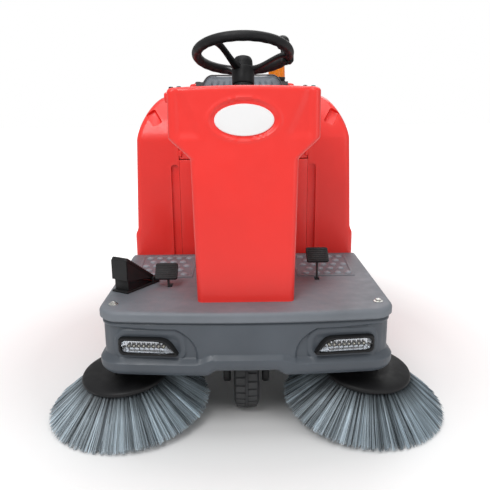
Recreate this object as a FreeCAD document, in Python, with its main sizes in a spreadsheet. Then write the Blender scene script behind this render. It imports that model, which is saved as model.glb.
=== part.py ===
import FreeCAD, Part
import os
import re
import Sketcher

# Ride-on sweeper. +Z is up, +X is to the machine's left, and the front faces -Y.
# The origin lies on the floor under the middle of the machine. Millimetres and degrees.

SIZES = {
    # overall places along the machine
    "deck_front": -660, "deck_width": 860, "deck_top": 395, "deck_depth": 645, "deck_lip": 30,
    "deck_sheet": 8, "deck_bow": 28, "deck_corner": 62, "seam_gap": 0.5,
    "bumper_bottom": 200, "bumper_wall": 10, "bumper_return": 420, "bumper_inset": 4,
    # frame
    "rail_x": 190, "rail_width": 40, "rail_depth": 50, "rail_start": 40, "rail_spare": 10, "tube_wall": 3,
    "beam_width": 40, "head_beam_width": 90, "mid_beam_y": -60, "rear_beam_back": 100,
    # front wheel and fork
    "fork_y": -443, "front_radius": 125, "front_width": 78, "front_tyre_wall": 37, "front_rim_width": 66,
    "leg_x": 63, "leg_thick": 24, "leg_width": 48, "leg_drop": 45, "crown_gap": 12, "crown_thick": 18,
    "stem_radius": 17.5, "bearing_radius": 32, "bearing_clear": 0.05, "bearing_bottom": 292,
    "thrust_radius": 28, "run_gap": 0.3, "front_axle_radius": 8, "motor_gap": 1, "drum_wall": 6,
    "tyre_shoulder": 14,
    # steering column and wheel
    "steer_y": -230, "steer_height": 1115, "steer_tilt": 17, "rim_radius": 148, "rim_tube": 15,
    "hub_drop": 48, "hub_radius": 30, "hub_height": 34, "spoke_radius": 9, "spoke_start": 24,
    "cap_radius": 24, "cap_height": 14, "ball_radius": 20, "cup_radius": 27,
    "cup_height": 30, "cup_cut": 8, "shaft_radius": 11, "column_radius": 30,
    "column_start": 120, "column_end": 78, "knob_radius": 22, "knob_reach": 134, "knob_angle": 12,
    "knob_height": 50,
    "knob_post": 6, "clamp_radius": 21, "clamp_width": 22, "clamp_gap": 0.3,
    # console
    "console_front": 95, "console_lean": 30, "console_foot": 280, "console_waist": 300,
    "console_top": 420, "waist_height": 415, "wing_height": 475, "console_height": 613,
    "console_split": 260, "console_depth": 400, "console_reach": 460, "reach_height": 470,
    "depth_height": 400,
    "console_wall": 6, "dash_thick": 10,
    "badge_half_width": 84, "badge_half_height": 44, "badge_height": 525, "badge_thick": 4,
    # controls on the dash
    "key_x": -130, "stop_x": 130, "barrel_radius": 11, "key_length": 22, "key_thick": 3,
    "key_width": 16, "horn_radius": 9,
    "horn_height": 12, "stop_radius": 17, "stop_height": 22, "stop_stem": 7,
    "horn_travel": 3, "stop_travel": 5,
    # pedals
    "throttle_x": -324, "throttle_y": -350, "throttle_yaw": 30, "throttle_slope": 35,
    "throttle_length": 160, "throttle_width": 74, "throttle_thick": 14, "heel_radius": 9,
    "heel_height": 16, "base_thick": 6, "base_length": 150, "base_rib": 8, "pin_radius": 5,
    "pedal_y": -492, "pedal_pin_height": 362, "pedal_pin_radius": 8, "pedal_hub_radius": 14,
    "pedal_arm_thick": 10, "pedal_hub_width": 20, "brake_x": 243, "brake_reach": 122, "brake_slope": 42,
    "flap_pedal_x": 238, "flap_reach": 190, "flap_slope": 37, "pad_width": 72, "pad_length": 60,
    "pad_thick": 10, "slot_width": 22, "slot_front": 4, "slot_length": 100,
    "pedal_arm_width": 18,
    # side brushes
    "brush_x": 373, "brush_y": -488, "brush_radius": 253.5, "brush_tilt": 7.1, "brush_lean": 33,
    "brush_plate_radius": 142, "brush_plate_height": 112, "brush_plate_thick": 14,
    "bristle_root": 118, "bristle_cavity": 205, "cavity_root": 70, "brush_motor_radius": 26,
    "brush_motor_height": 86, "brush_shaft_radius": 9, "brush_arm_x": 318, "brush_arm_y": -150,
    "brush_arm_height": 268, "brush_arm_width": 26, "brush_arm_thick": 40, "brush_pin_radius": 10,
    "brush_hub_radius": 20, "motor_mount": 20,
    # lamps
    "lamp_x": 281, "lamp_height": 289, "lamp_width": 172, "lamp_tall": 58, "lamp_depth": 60,
    "lamp_rim": 8, "lamp_proud": 6, "lens_thick": 4,
    # rear body
    "body_front": -11, "body_width": 828, "body_rear": 700, "shoulder_height": 830, "tower_height": 985,
    "seat_side_room": 20, "tower_top_outer": 300, "slope_run": 105, "panel_wall": 6, "skirt_bottom": 150,
    "skirt_wall": 8, "arch_radius": 172, "cowl_depth": 144, "cowl_height": 1045,
    "cowl_slope": 60, "seat_deck_height": 762,
    # seat
    "seat_deck_thick": 10, "seat_gap": 4, "seat_width": 440, "seat_front": 60, "seat_crack": 2,
    "pan_room": 46,
    "pan_thick": 14, "cushion_thick": 84, "back_thick": 74, "back_height": 232, "back_tilt": 9,
    "back_start": 846, "back_room": 124, "hood_pin_radius": 8, "hood_ear": 12,
    # beacon
    "beacon_x": 160, "beacon_back": 100, "beacon_radius": 40, "beacon_base_height": 27,
    "beacon_height": 60,
    # main broom and flap
    "broom_y": 60, "broom_radius": 140, "broom_core_radius": 60, "broom_half": 330, "broom_gap": 12,
    "house_wall": 5, "house_clear": 14, "house_bottom": 60, "broom_shaft_radius": 12,
    "broom_motor_radius": 40, "broom_motor_length": 38, "flap_thick": 6, "flap_pin_radius": 6,
    "flap_hub_radius": 11,
    # hopper
    "hopper_half": 198, "hopper_lip": 140, "hopper_front": 232, "hopper_rear": 694, "hopper_bottom": 92,
    "hopper_top": 318, "hopper_wall": 4, "runner_thick": 10, "flange_thick": 5,
    "handle_half": 80, "handle_reach": 32, "handle_radius": 8, "handle_post_radius": 6, "handle_height": 250,
    # rear wheels
    "rear_y": 430, "rear_radius": 150, "rear_width": 84, "rear_rim_radius": 98, "rear_rim_width": 70,
    "rear_wheel_x": 352, "rear_axle_radius": 14, "bracket_thick": 12, "bracket_width": 90,
    "rear_hub_radius": 34,
    # batteries, filter and fan
    "battery_width": 220, "battery_pitch": 226, "battery_depth": 200, "battery_height": 260,
    "battery_y": 30, "tray_thick": 4, "filter_y": 262, "filter_depth": 150, "filter_half": 190,
    "filter_height": 130, "fan_radius": 55, "fan_case_radius": 64, "fan_depth": 60,
    "fan_shaft": 8,
    # fasteners
    "bolt_x": 390, "bolt_y": 90, "bolt_radius": 8, "bolt_head": 5, "washer_radius": 14, "washer_thick": 2,
    # raised tread panels on the deck
    "tread_inner": 176, "tread_outer": 385, "tread_front_outer": 372, "tread_front": 346, "tread_rear": 620,
    "tread_thick": 3,
    # places of smaller pieces
    "outrigger_length": 190, "outrigger_front": 40, "outrigger_rear": 610, "post_x": 62, "post_y": -390,
    "post_width": 24, "post_height": 300, "clamp_overhang": 10, "clamp_length": 96, "clamp_thick": 12,
    "seat_rest_y": 495, "pin_spare": 4, "deck_bore": 36, "lens_set": 4, "lamp_unit": 30, "axle_spare": 6,
    "motor_boss": 26, "knob_arm": 20, "control_height": 950, "horn_x": 60, "horn_stem": 5,
    "rocker_x": -60, "rocker_width": 22, "rocker_tall": 34, "rocker_depth": 14, "rocker_gap": 0.8,
    "barrel_depth": 26, "barrel_proud": 4, "key_slot": 12, "key_hole": 4, "key_way": 8.5, "dash_cap_row": 18,
    "fan_wall": 5, "fan_hub_radius": 20,
    "fan_blade": 3, "flange_reach": 8, "runner_width": 10, "rim_flange": 10, "rim_web": 16,
    "throw_height": 200, "broom_shaft_spare": 6, "flap_pin_height": 92, "flap_floor": 8,
    "rear_bumper_depth": 40, "hood_pin_y": -3, "hood_pin_height": 781, "lug_depth": 12,
    "pan_inset": 12, "back_drop": 47,
    "back_plate_thick": 8, "beacon_lens_radius": 38, "beacon_dome": 24, "disc_hub_radius": 30,
    "disc_hub_height": 14, "arm_lead": 43, "link_depth": 44, "link_height": 26, "stop_back": 122,
    "stop_width": 30, "stop_rise": 30, "dash_cap_inner": 178, "dash_cap_outer": 194,
    "dash_cap_radius": 7, "dash_cap_height": 5,
}

AXES = {"X": FreeCAD.Vector(1, 0, 0), "Y": FreeCAD.Vector(0, 1, 0), "Z": FreeCAD.Vector(0, 0, 1)}
WORD = re.compile(r"[a-z_]+")

doc = FreeCAD.newDocument("RideOnSweeper")
sheet = doc.addObject("Spreadsheet::Sheet", "Sizes")
nodes = []


def fill_sheet():
    """Write every driving size to the sheet, with its name beside it as its alias."""
    for row, (name, value) in enumerate(SIZES.items(), start=1):
        sheet.set(f"A{row}", name)
        sheet.set(f"B{row}", str(value))
        sheet.setAlias(f"B{row}", name)
    doc.recompute()


def bound(formula):
    """Return the formula with each size's name made a reference to the sheet."""
    return WORD.sub(lambda word: "Sizes." + word.group() if word.group() in SIZES else word.group(),
                    str(formula))


def number(formula):
    """Return what a formula of the sheet's sizes comes to."""
    return float(doc.getObject("Sizes").evalExpression(bound(formula)))


def bind(piece, **formulas):
    """Bind properties of a piece to formulas."""
    for name, formula in formulas.items():
        piece.setExpression(name, bound(formula))
    return piece


def place(piece, x=0, y=0, z=0, axis=None, angle=0):
    """Put a piece at a point, turned by an angle about a named axis, or by a rotation."""
    if axis is not None:
        turn = FreeCAD.Rotation(AXES[axis], number(angle)) if isinstance(axis, str) else axis
        piece.Placement = FreeCAD.Placement(FreeCAD.Vector(0, 0, 0), turn)
    for name, formula in (("x", x), ("y", y), ("z", z)):
        piece.setExpression("Placement.Base." + name, bound(formula))
    return piece


def box(x, y, z, length, width, height):
    """Return a block with its lowest corner at x, y, z."""
    piece = bind(doc.addObject("Part::Box", "Block"), Length=length, Width=width, Height=height)
    return place(piece, x, y, z)


def bar(x, y, z, length, width, height):
    """Return a block that is centred on x."""
    return box(f"({x}) - ({length}) / 2", y, z, length, width, height)


def rod(x, y, z, radius, length, axis="Z"):
    """Return a cylinder that starts at x, y, z and runs along an axis."""
    piece = bind(doc.addObject("Part::Cylinder", "Rod"), Radius=radius, Height=length)
    turns = {"Z": (None, 0), "X": ("Y", 90), "Y": ("X", -90)}
    return place(piece, x, y, z, *turns[axis])


def ball(x, y, z, radius):
    """Return a sphere."""
    return place(bind(doc.addObject("Part::Sphere", "Ball"), Radius=radius), x, y, z)


def fuse(*pieces):
    """Return several pieces joined to one solid."""
    joined = doc.addObject("Part::MultiFuse", "Joined")
    joined.Shapes = list(pieces)
    return joined


def group(*pieces):
    """Return several solids kept apart in one node."""
    together = doc.addObject("Part::Compound", "Group")
    together.Links = list(pieces)
    return together


def cut(base, *tools):
    """Return a base with one or more tools taken away."""
    left = doc.addObject("Part::Cut", "Cut")
    left.Base = base
    left.Tool = tools[0] if len(tools) == 1 else fuse(*tools)
    return left


def arc_middle(start, end, radius, side):
    """Return the middle of the smaller arc between two points, bowed to the left (1) or to the right (-1)."""
    chord = end - start
    rise = radius - (radius ** 2 - (chord.Length / 2) ** 2) ** 0.5
    left = FreeCAD.Vector(-chord.y, chord.x, 0).normalize()
    return (start + end) * 0.5 + left * (side * rise)


def draw(body, plane, points, offset=0):
    """Draw a closed outline on one of a body's planes, each corner bound to the sheet.

    A point is (across, up). An entry ("arc", radius, side) makes the side that starts at the point before
    it an arc, bowed to its left (1) or right (-1).
    """
    sketch = body.newObject("Sketcher::SketchObject", "Outline")
    planes = {"XY": "XY_Plane", "XZ": "XZ_Plane", "YZ": "YZ_Plane"}
    origin = [part for part in body.Origin.OriginFeatures if part.Role == planes[plane]][0]
    sketch.AttachmentSupport = [(origin, "")]
    sketch.MapMode = "FlatFace"
    sketch.setExpression("AttachmentOffset.Base.z", bound(offset))
    corners = [point for point in points if point[0] != "arc"]
    spots = [FreeCAD.Vector(number(across), number(up), 0) for across, up in corners]
    bows = {}
    count = -1
    for point in points:
        if point[0] == "arc":
            bows[count] = point[1:]
        else:
            count += 1
    for index, start in enumerate(spots):
        end = spots[(index + 1) % len(spots)]
        side = Part.LineSegment(start, end)
        if index in bows:
            radius, turning = bows[index]
            side = Part.Arc(start, arc_middle(start, end, number(radius), turning), end)
        sketch.addGeometry(side, False)
    ends = arc_ends(sketch, spots)
    for index, corner in enumerate(corners):
        after = (index + 1) % len(corners)
        sketch.addConstraint(Sketcher.Constraint("Coincident", index, ends[index][1], after, ends[after][0]))
        pin_point(sketch, index, ends[index][0], corner, f"corner{index}")
    for index, (radius, turning) in bows.items():
        pin_bow(sketch, index, corners[index], corners[(index + 1) % len(corners)], radius, turning)
    return sketch


def arc_ends(sketch, spots):
    """Return which end of each side is its start, because an arc may be stored the other way round."""
    ends = []
    for index, spot in enumerate(spots):
        ends.append((1, 2) if (sketch.getPoint(index, 1) - spot).Length < 1e-6 else (2, 1))
    return ends


def pin_point(sketch, geometry, end, place_formulas, name):
    """Bind a sketch point's two distances from the origin to formulas."""
    for kind, formula, letter in (("DistanceX", place_formulas[0], "x"), ("DistanceY", place_formulas[1], "y")):
        rule = sketch.addConstraint(Sketcher.Constraint(kind, -1, 1, geometry, end, number(formula)))
        sketch.renameConstraint(rule, name + letter)
        sketch.setExpression("Constraints." + name + letter, bound(formula))


def pin_bow(sketch, index, start, end, radius, turning):
    """Bind an arc's centre to the sheet, by whichever of its distances runs across the arc's chord."""
    across, up = (f"(({after}) - ({before}))" for before, after in zip(start, end))
    share = f"sqrt(({radius})^2 / ({across}^2 + {up}^2) - 0.25)"
    if abs(number(up)) > abs(number(across)):
        kind, formula = "DistanceX", f"({start[0]}) + {across} / 2 + {turning} * {up} * {share}"
    else:
        kind, formula = "DistanceY", f"({start[1]}) + {up} / 2 - {turning} * {across} * {share}"
    rule = sketch.addConstraint(Sketcher.Constraint(kind, -1, 1, index, 3, number(formula)))
    sketch.renameConstraint(rule, f"bow{index}")
    sketch.setExpression(f"Constraints.bow{index}", bound(formula))


def pad(plane, points, start, length, name="Plate"):
    """Return a body whose outline is pulled along its plane's positive axis, from start, by length."""
    body = doc.addObject("PartDesign::Body", name)
    backwards = plane == "XZ"
    sketch = draw(body, plane, points, f"-({start})" if backwards else start)
    feature = body.newObject("PartDesign::Pad", "Pad")
    feature.Profile = sketch
    feature.Reversed = backwards
    feature.setExpression("Length", bound(length))
    sketch.Visibility = False
    return body


def turned(points, axis, name="Turned"):
    """Return a body turned from an outline: across is X and up is Z; axis says which of them it turns about."""
    body = doc.addObject("PartDesign::Body", name)
    sketch = draw(body, "XZ", points)
    feature = body.newObject("PartDesign::Revolution", "Turn")
    feature.Profile = sketch
    feature.ReferenceAxis = (sketch, ["H_Axis" if axis == "X" else "V_Axis"])
    feature.Angle = 360
    return body


def dome_arc(radius, height):
    """Return the arc of a round cap of a radius and a height, centred on its axis."""
    return ("arc", f"({radius} ^ 2 + {height} ^ 2) / (2 * {height})", -1)


def node(label, piece):
    """Name a finished piece and keep it as a node."""
    piece.Label = label
    nodes.append(piece)
    return piece


def turn(axis, angle):
    """Return a rotation by a formula's angle about a named axis."""
    return FreeCAD.Rotation(AXES[axis], number(angle))


def common(*pieces):
    """Return what several pieces share."""
    shared = doc.addObject("Part::MultiCommon", "Shared")
    shared.Shapes = list(pieces)
    return shared


# Heights and places that several pieces share.
FRAME_TOP = "(deck_top - deck_sheet)"
RAIL_LOW = "(deck_top - deck_sheet - rail_depth)"
FRONT_RIM = "(front_radius - front_tyre_wall)"
TOWER_INNER = "(seat_width / 2 + seat_side_room)"
COWL_FRONT = "(body_rear - cowl_depth)"
BACK_Y = f"({COWL_FRONT} - back_room)"
RAIL_OUTER = "(rail_x + rail_width / 2)"
CROWN_TOP = "(2 * front_radius + crown_gap + crown_thick)"
SHAFT_LENGTH = "((steer_y - fork_y) / sin(steer_tilt))"
BALL_HEIGHT = "(steer_height - (steer_y - fork_y) / tan(steer_tilt))"
CONSOLE_TOP = "(deck_top + console_height)"
FRONT_HALF = "(deck_width / 2 - deck_corner)"
BOW_RADIUS = f"(({FRONT_HALF} ^ 2 + deck_bow ^ 2) / (2 * deck_bow))"
LAMP_SET = f"(deck_front + bumper_inset + deck_bow * lamp_x ^ 2 / {FRONT_HALF} ^ 2)"
LAMP_YAW = f"atan(2 * deck_bow * lamp_x / {FRONT_HALF} ^ 2)"
SEAT_LEVEL = "(seat_deck_height + seat_deck_thick)"
CUSHION_LEVEL = f"({SEAT_LEVEL} + pan_thick + run_gap)"
BROOM_HOUSE_HALF = "(broom_half + broom_gap + house_wall)"
BROOM_HOUSE_TOP = "(2 * broom_radius + house_clear)"
SIDES = (-1, 1)
SPOKE_ANGLES = (-5, -125, 115)


def box_tube(x, y, z, length, width, height, along):
    """Return a square tube that is open at both ends."""
    sizes = [length, width, height]
    corner = [x, y, z]
    for index, axis in enumerate("XYZ"):
        if axis == along:
            corner[index] = f"({corner[index]}) - 1"
            sizes[index] = f"({sizes[index]}) + 2"
        else:
            corner[index] = f"({corner[index]}) + tube_wall"
            sizes[index] = f"({sizes[index]}) - 2 * tube_wall"
    return cut(box(x, y, z, length, width, height), box(*corner, *sizes))


def make_frame():
    """Rails, cross beams, outriggers, column posts, pedal pins and brush brackets."""
    pieces = []
    inner = "(2 * rail_x - rail_width)"
    for side in SIDES:
        start = f"{side} * rail_x - rail_width / 2"
        pieces.append(box_tube(start, "deck_front + rail_start", RAIL_LOW, "rail_width",
                               "body_rear - rail_spare - deck_front - rail_start", "rail_depth", "Y"))
        outer = f"{side} * ({RAIL_OUTER} + outrigger_length / 2)"
        for beam_y in ("outrigger_front", "outrigger_rear"):
            pieces.append(box_tube(f"{outer} - outrigger_length / 2", beam_y, RAIL_LOW,
                                   "outrigger_length", "beam_width", "rail_depth", "X"))
        post = bar(f"{side} * post_x", "post_y", "deck_top", "post_width", "post_width", "post_height")
        pieces.append(post)
        pieces.append(bar(f"{side} * ({RAIL_OUTER} + bracket_thick / 2)", "brush_arm_y - beam_width / 2",
                          "brush_arm_height - beam_width / 2", "bracket_thick", "beam_width",
                          f"{FRAME_TOP} - brush_arm_height + beam_width / 2"))
        pin_start = f"{RAIL_OUTER} + bracket_thick"
        pin_length = f"brush_arm_x + brush_arm_width / 2 + pin_spare - {pin_start}"
        pieces.append(side_rod(side, pin_start, "brush_arm_y", "brush_arm_height", "brush_pin_radius",
                               pin_length))
        pedal_x = "brake_x" if side < 0 else "flap_pedal_x"
        pieces.append(side_rod(side, RAIL_OUTER, "pedal_y", "pedal_pin_height", "pedal_pin_radius",
                               f"{pedal_x} + pedal_hub_width / 2 + pin_spare - {RAIL_OUTER}"))
    for beam_y in ("deck_front + rail_start", "mid_beam_y", "body_rear - rear_beam_back"):
        pieces.append(box_tube(f"-{inner} / 2", beam_y, RAIL_LOW, inner, "beam_width", "rail_depth", "X"))
    head = bar(0, "fork_y - head_beam_width / 2", RAIL_LOW, inner, "head_beam_width", "rail_depth")
    pieces.append(cut(head, rod(0, "fork_y", f"{RAIL_LOW} - 1", "bearing_radius", "rail_depth + 2")))
    pieces.append(bar(0, "seat_rest_y", "seat_deck_height - run_gap - rail_width", f"2 * {TOWER_INNER}",
                      "beam_width", "rail_width"))
    clamp = bar(0, "post_y - clamp_overhang", "deck_top + post_height", "2 * post_x + post_width",
                "clamp_length", "clamp_thick")
    pieces.append(cut(clamp, steering_axis_rod("column_radius", 0, SHAFT_LENGTH)))
    node("chassis_frame", group(*pieces))


def side_rod(side, start, y, z, radius, length):
    """Return a rod along X that starts at a distance from the middle and runs outwards."""
    x = start if side > 0 else f"-({start}) - ({length})"
    return rod(x, y, z, radius, length, "X")


def steering_axis_rod(radius, start, length):
    """Return a rod on the steering axis; start counts up from the ball at the column's foot."""
    piece = rod(0, 0, f"{start} - {SHAFT_LENGTH}", radius, length)
    return on_steering(piece)


def on_steering(*pieces):
    """Carry pieces from the wheel's own frame, +Z along its shaft, to their place."""
    return place(group(*pieces), 0, "steer_y", "steer_height", "X", "-steer_tilt")


def deck_plan(inset, rear):
    """Return the deck's outline: a bowed front with round corners, and straight sides."""
    half = f"(deck_width / 2 - {inset})"
    set_back = f"(deck_front + {inset} + deck_bow)"
    corner = ("arc", "deck_corner", -1)
    middle = (0, f"deck_front + {inset}")
    return [(f"-{half}", rear), (f"-{half}", f"{set_back} + deck_corner"), corner,
            (f"-{half} + deck_corner", set_back), ("arc", BOW_RADIUS, -1), middle, ("arc", BOW_RADIUS, -1),
            (f"{half} - deck_corner", set_back), corner,
            (half, f"{set_back} + deck_corner"), (half, rear)]


def make_deck():
    """The deck tray, its tread panels and bolts, and the wrap-round bumper."""
    rear = "deck_front + deck_depth"
    tray = pad("XY", deck_plan(0, rear), "deck_top - deck_lip", "deck_lip")
    under = pad("XY", deck_plan("deck_sheet", f"{rear} + 1"), "deck_top - deck_lip - 1",
                "deck_lip - deck_sheet + 1")
    openings = [rod(0, "fork_y", f"{FRAME_TOP} - 1", "deck_bore", "deck_sheet + 2")]
    for side, pedal_x in ((-1, "brake_x"), (1, "flap_pedal_x")):
        openings.append(bar(f"{side} * {pedal_x}", "pedal_y - slot_front", f"{FRAME_TOP} - 1",
                            "slot_width", "slot_length", "deck_sheet + 2"))
        openings.append(rod(f"{side} * bolt_x", "deck_front + bolt_y", f"{FRAME_TOP} - 1", "bolt_radius / 2",
                            "deck_sheet + 2"))
    node("deck_plate", cut(tray, under, *openings))

    panels = []
    for side in SIDES:
        outline = [(f"{side} * tread_inner", "deck_front + tread_front"),
                   (f"{side} * tread_front_outer", "deck_front + tread_front"),
                   (f"{side} * tread_outer", "deck_front + tread_rear"),
                   (f"{side} * tread_inner", "deck_front + tread_rear")]
        panels.append(pad("XY", outline, "deck_top", "tread_thick"))
    node("tread_panels", group(*panels))

    bolts = []
    for side in SIDES:
        spot = (f"{side} * bolt_x", "deck_front + bolt_y")
        washer = rod(*spot, "deck_top", "washer_radius", "washer_thick")
        head = rod(*spot, "deck_top + washer_thick", "bolt_radius", "bolt_head")
        shank = rod(*spot, f"{FRAME_TOP} - bolt_head", "bolt_radius / 2",
                    "deck_sheet + washer_thick + bolt_head")
        bolts.append(fuse(washer, head, shank))
    node("deck_bolts", group(*bolts))

    top = "deck_top - deck_lip - seam_gap"
    rear = "deck_front + bumper_return"
    outer = pad("XY", deck_plan("bumper_inset", rear), "bumper_bottom", f"{top} - bumper_bottom")
    inner = pad("XY", deck_plan("(bumper_inset + bumper_wall)", f"{rear} + 1"), "bumper_bottom - 1",
                f"{top} - bumper_bottom + 2")
    holes = [lamp_block(side, 0, "lamp_width", "lamp_tall", "lamp_depth + lamp_proud") for side in SIDES]
    node("front_bumper", cut(outer, inner, *holes))


def lamp_block(side, start, width, height, depth):
    """Return a block of a headlamp; start counts back from the bezel's front face."""
    block = box(f"-({width}) / 2", f"{start} - lamp_proud", f"-({height}) / 2", width, depth, height)
    angle = f"{side} * {LAMP_YAW}"
    return place(group(block), f"{side} * lamp_x", LAMP_SET, "lamp_height", "Z", angle)


def make_headlamps():
    """Bezels, lamp units and lenses of the two headlamps."""
    bezels, lamps, lenses = [], [], []
    for side in SIDES:
        inside = ("lamp_width - 2 * lamp_rim", "lamp_tall - 2 * lamp_rim")
        bezels.append(cut(lamp_block(side, 0, "lamp_width", "lamp_tall", "lamp_depth"),
                          lamp_block(side, -1, *inside, "lamp_depth + 2")))
        lenses.append(lamp_block(side, "lens_set", *inside, "lens_thick"))
        lamps.append(lamp_block(side, "lamp_depth - lamp_unit", *inside, "lamp_unit"))
    node("headlight_bezels", group(*bezels))
    node("headlight_lamps", group(*lamps))
    node("headlight_lenses", group(*lenses))


def console_outline(shrink, low, high):
    """Return the console's outline from the front: a tapered column below a wider shield."""
    right = [(f"console_foot / 2 - {shrink}", low),
             (f"console_waist / 2 - {shrink}", "deck_top + waist_height"),
             (f"console_top / 2 - {shrink}", "deck_top + wing_height"),
             (f"console_top / 2 - {shrink}", high)]
    left = [(f"-({across})", up) for across, up in reversed(right)]
    return right + left


def console_shell(profile, inner_profile):
    """Return a console shell that is open at its foot and at its top."""
    start, length = "deck_front", "console_reach + 2"
    outer = common(pad("XZ", console_outline(0, "deck_top", CONSOLE_TOP), start, length),
                   pad("YZ", profile, "-console_top", "2 * console_top"))
    inner = common(pad("XZ", console_outline("console_wall", "deck_top - 1", f"{CONSOLE_TOP} + 1"),
                       start, length),
                   pad("YZ", inner_profile, "-console_top", "2 * console_top"))
    return cut(outer, inner)


def make_console():
    """The console's two shells, its dash panel with fixing caps, and the plain badge plate."""
    front, split = "(deck_front + console_front)", "(deck_front + console_split)"
    lean = f"({front} + console_lean)"
    shell = [(front, "deck_top"), (lean, CONSOLE_TOP), (split, CONSOLE_TOP), (split, "deck_top")]
    hollow = [(f"{front} + console_wall", "deck_top - 1"),
              (f"{lean} + console_wall", f"{CONSOLE_TOP} + 1"),
              (f"{split} + 1", f"{CONSOLE_TOP} + 1"), (f"{split} + 1", "deck_top - 1")]
    node("console_front_shell", console_shell(shell, hollow))

    joint = f"({split} + run_gap)"
    depth, reach = "(deck_front + console_depth)", "(deck_front + console_reach)"
    shell = [(joint, "deck_top"), (depth, "deck_top"), (depth, "deck_top + depth_height"),
             (reach, "deck_top + reach_height"), (reach, CONSOLE_TOP), (joint, CONSOLE_TOP)]
    hollow = [(f"{joint} - 1", "deck_top - 1"), (f"{depth} - console_wall", "deck_top - 1"),
              (f"{depth} - console_wall", "deck_top + depth_height"),
              (f"{reach} - console_wall", "deck_top + reach_height"),
              (f"{reach} - console_wall", f"{CONSOLE_TOP} + 1"), (f"{joint} - 1", f"{CONSOLE_TOP} + 1")]
    rear_shell = console_shell(shell, hollow)
    bores = [rod(spot, f"{reach} - console_wall - 1", "control_height", bore, "console_wall + 2", "Y")
             for spot, bore in (("key_x", "barrel_radius"), ("horn_x", "horn_stem"), ("stop_x", "stop_stem"))]
    bores.append(bar("rocker_x", f"{reach} - console_wall - 1", "control_height - rocker_tall / 2",
                     "rocker_width", "console_wall + 2", "rocker_tall"))
    node("console_rear_shell", cut(rear_shell, *bores))

    inside = f"{lean} + console_wall"
    panel = bar(0, inside, f"{CONSOLE_TOP} - dash_thick", "console_top - 2 * console_wall",
                f"{reach} - console_wall - ({inside})", "dash_thick")
    bored = cut(panel, steering_axis_rod("column_radius", 0, SHAFT_LENGTH))
    caps = [rod(f"{side} * {across}", f"{inside} + dash_cap_row", CONSOLE_TOP, "dash_cap_radius",
                "dash_cap_height") for side in SIDES for across in ("dash_cap_inner", "dash_cap_outer")]
    node("dash_panel", group(bored, *caps, make_key_barrel()))

    oval = bind(doc.addObject("Part::Ellipse", "Oval"), MajorRadius="badge_half_width",
                MinorRadius="badge_half_height")
    plate = doc.addObject("Part::Extrusion", "Plate")
    plate.Base = oval
    plate.Dir = FreeCAD.Vector(0, 0, 1)
    plate.Solid = True
    bind(plate, LengthFwd="badge_thick")
    place(plate, 0, f"{front} + console_lean * badge_height / console_height", "deck_top + badge_height",
          "X", "90 deg - atan(console_lean / console_height)")
    node("badge_plate", plate)


def make_key_barrel():
    """Return the key switch's barrel in the console's rear face."""
    face = "(deck_front + console_reach)"
    inside = f"({face} - console_wall)"
    return cut(rod("key_x", f"{inside} - barrel_depth", "control_height", "barrel_radius",
                   "barrel_depth + console_wall + barrel_proud", "Y"),
               rod("key_x", f"{face} - key_slot", "control_height", "key_way", "key_slot + barrel_proud + 1",
                   "Y"))


def make_controls():
    """The key, the direction rocker, the horn button and the emergency stop on the console's rear face."""
    face = "(deck_front + console_reach)"
    inside = f"({face} - console_wall)"
    blade = bar("key_x", f"{face} - key_slot + run_gap", "control_height - key_width / 2", "key_thick",
                "key_slot + barrel_proud + key_length", "key_width")
    hole = rod("key_x - key_thick", f"{face} + barrel_proud + key_length / 2", "control_height",
               "key_hole", "2 * key_thick", "X")
    node("ignition_key", cut(blade, hole))
    rocker = bar("rocker_x", f"{face} - rocker_depth / 2", "control_height - rocker_tall / 2 + rocker_gap",
                 "rocker_width - 2 * rocker_gap", "rocker_depth", "rocker_tall - 2 * rocker_gap")
    node("direction_rocker", rocker)
    for label, spot, stem, radius, height, travel in (
            ("horn_button", "horn_x", "horn_stem", "horn_radius", "horn_height", "horn_travel"),
            ("emergency_stop", "stop_x", "stop_stem", "stop_radius", "stop_height", "stop_travel")):
        shaft = rod(spot, f"{inside} - {travel}", "control_height", f"{stem} - bearing_clear",
                    f"console_wall + 2 * {travel}", "Y")
        cap = rod(spot, f"{face} + {travel} + run_gap", "control_height", radius, height, "Y")
        node(label, fuse(shaft, cap))


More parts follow.
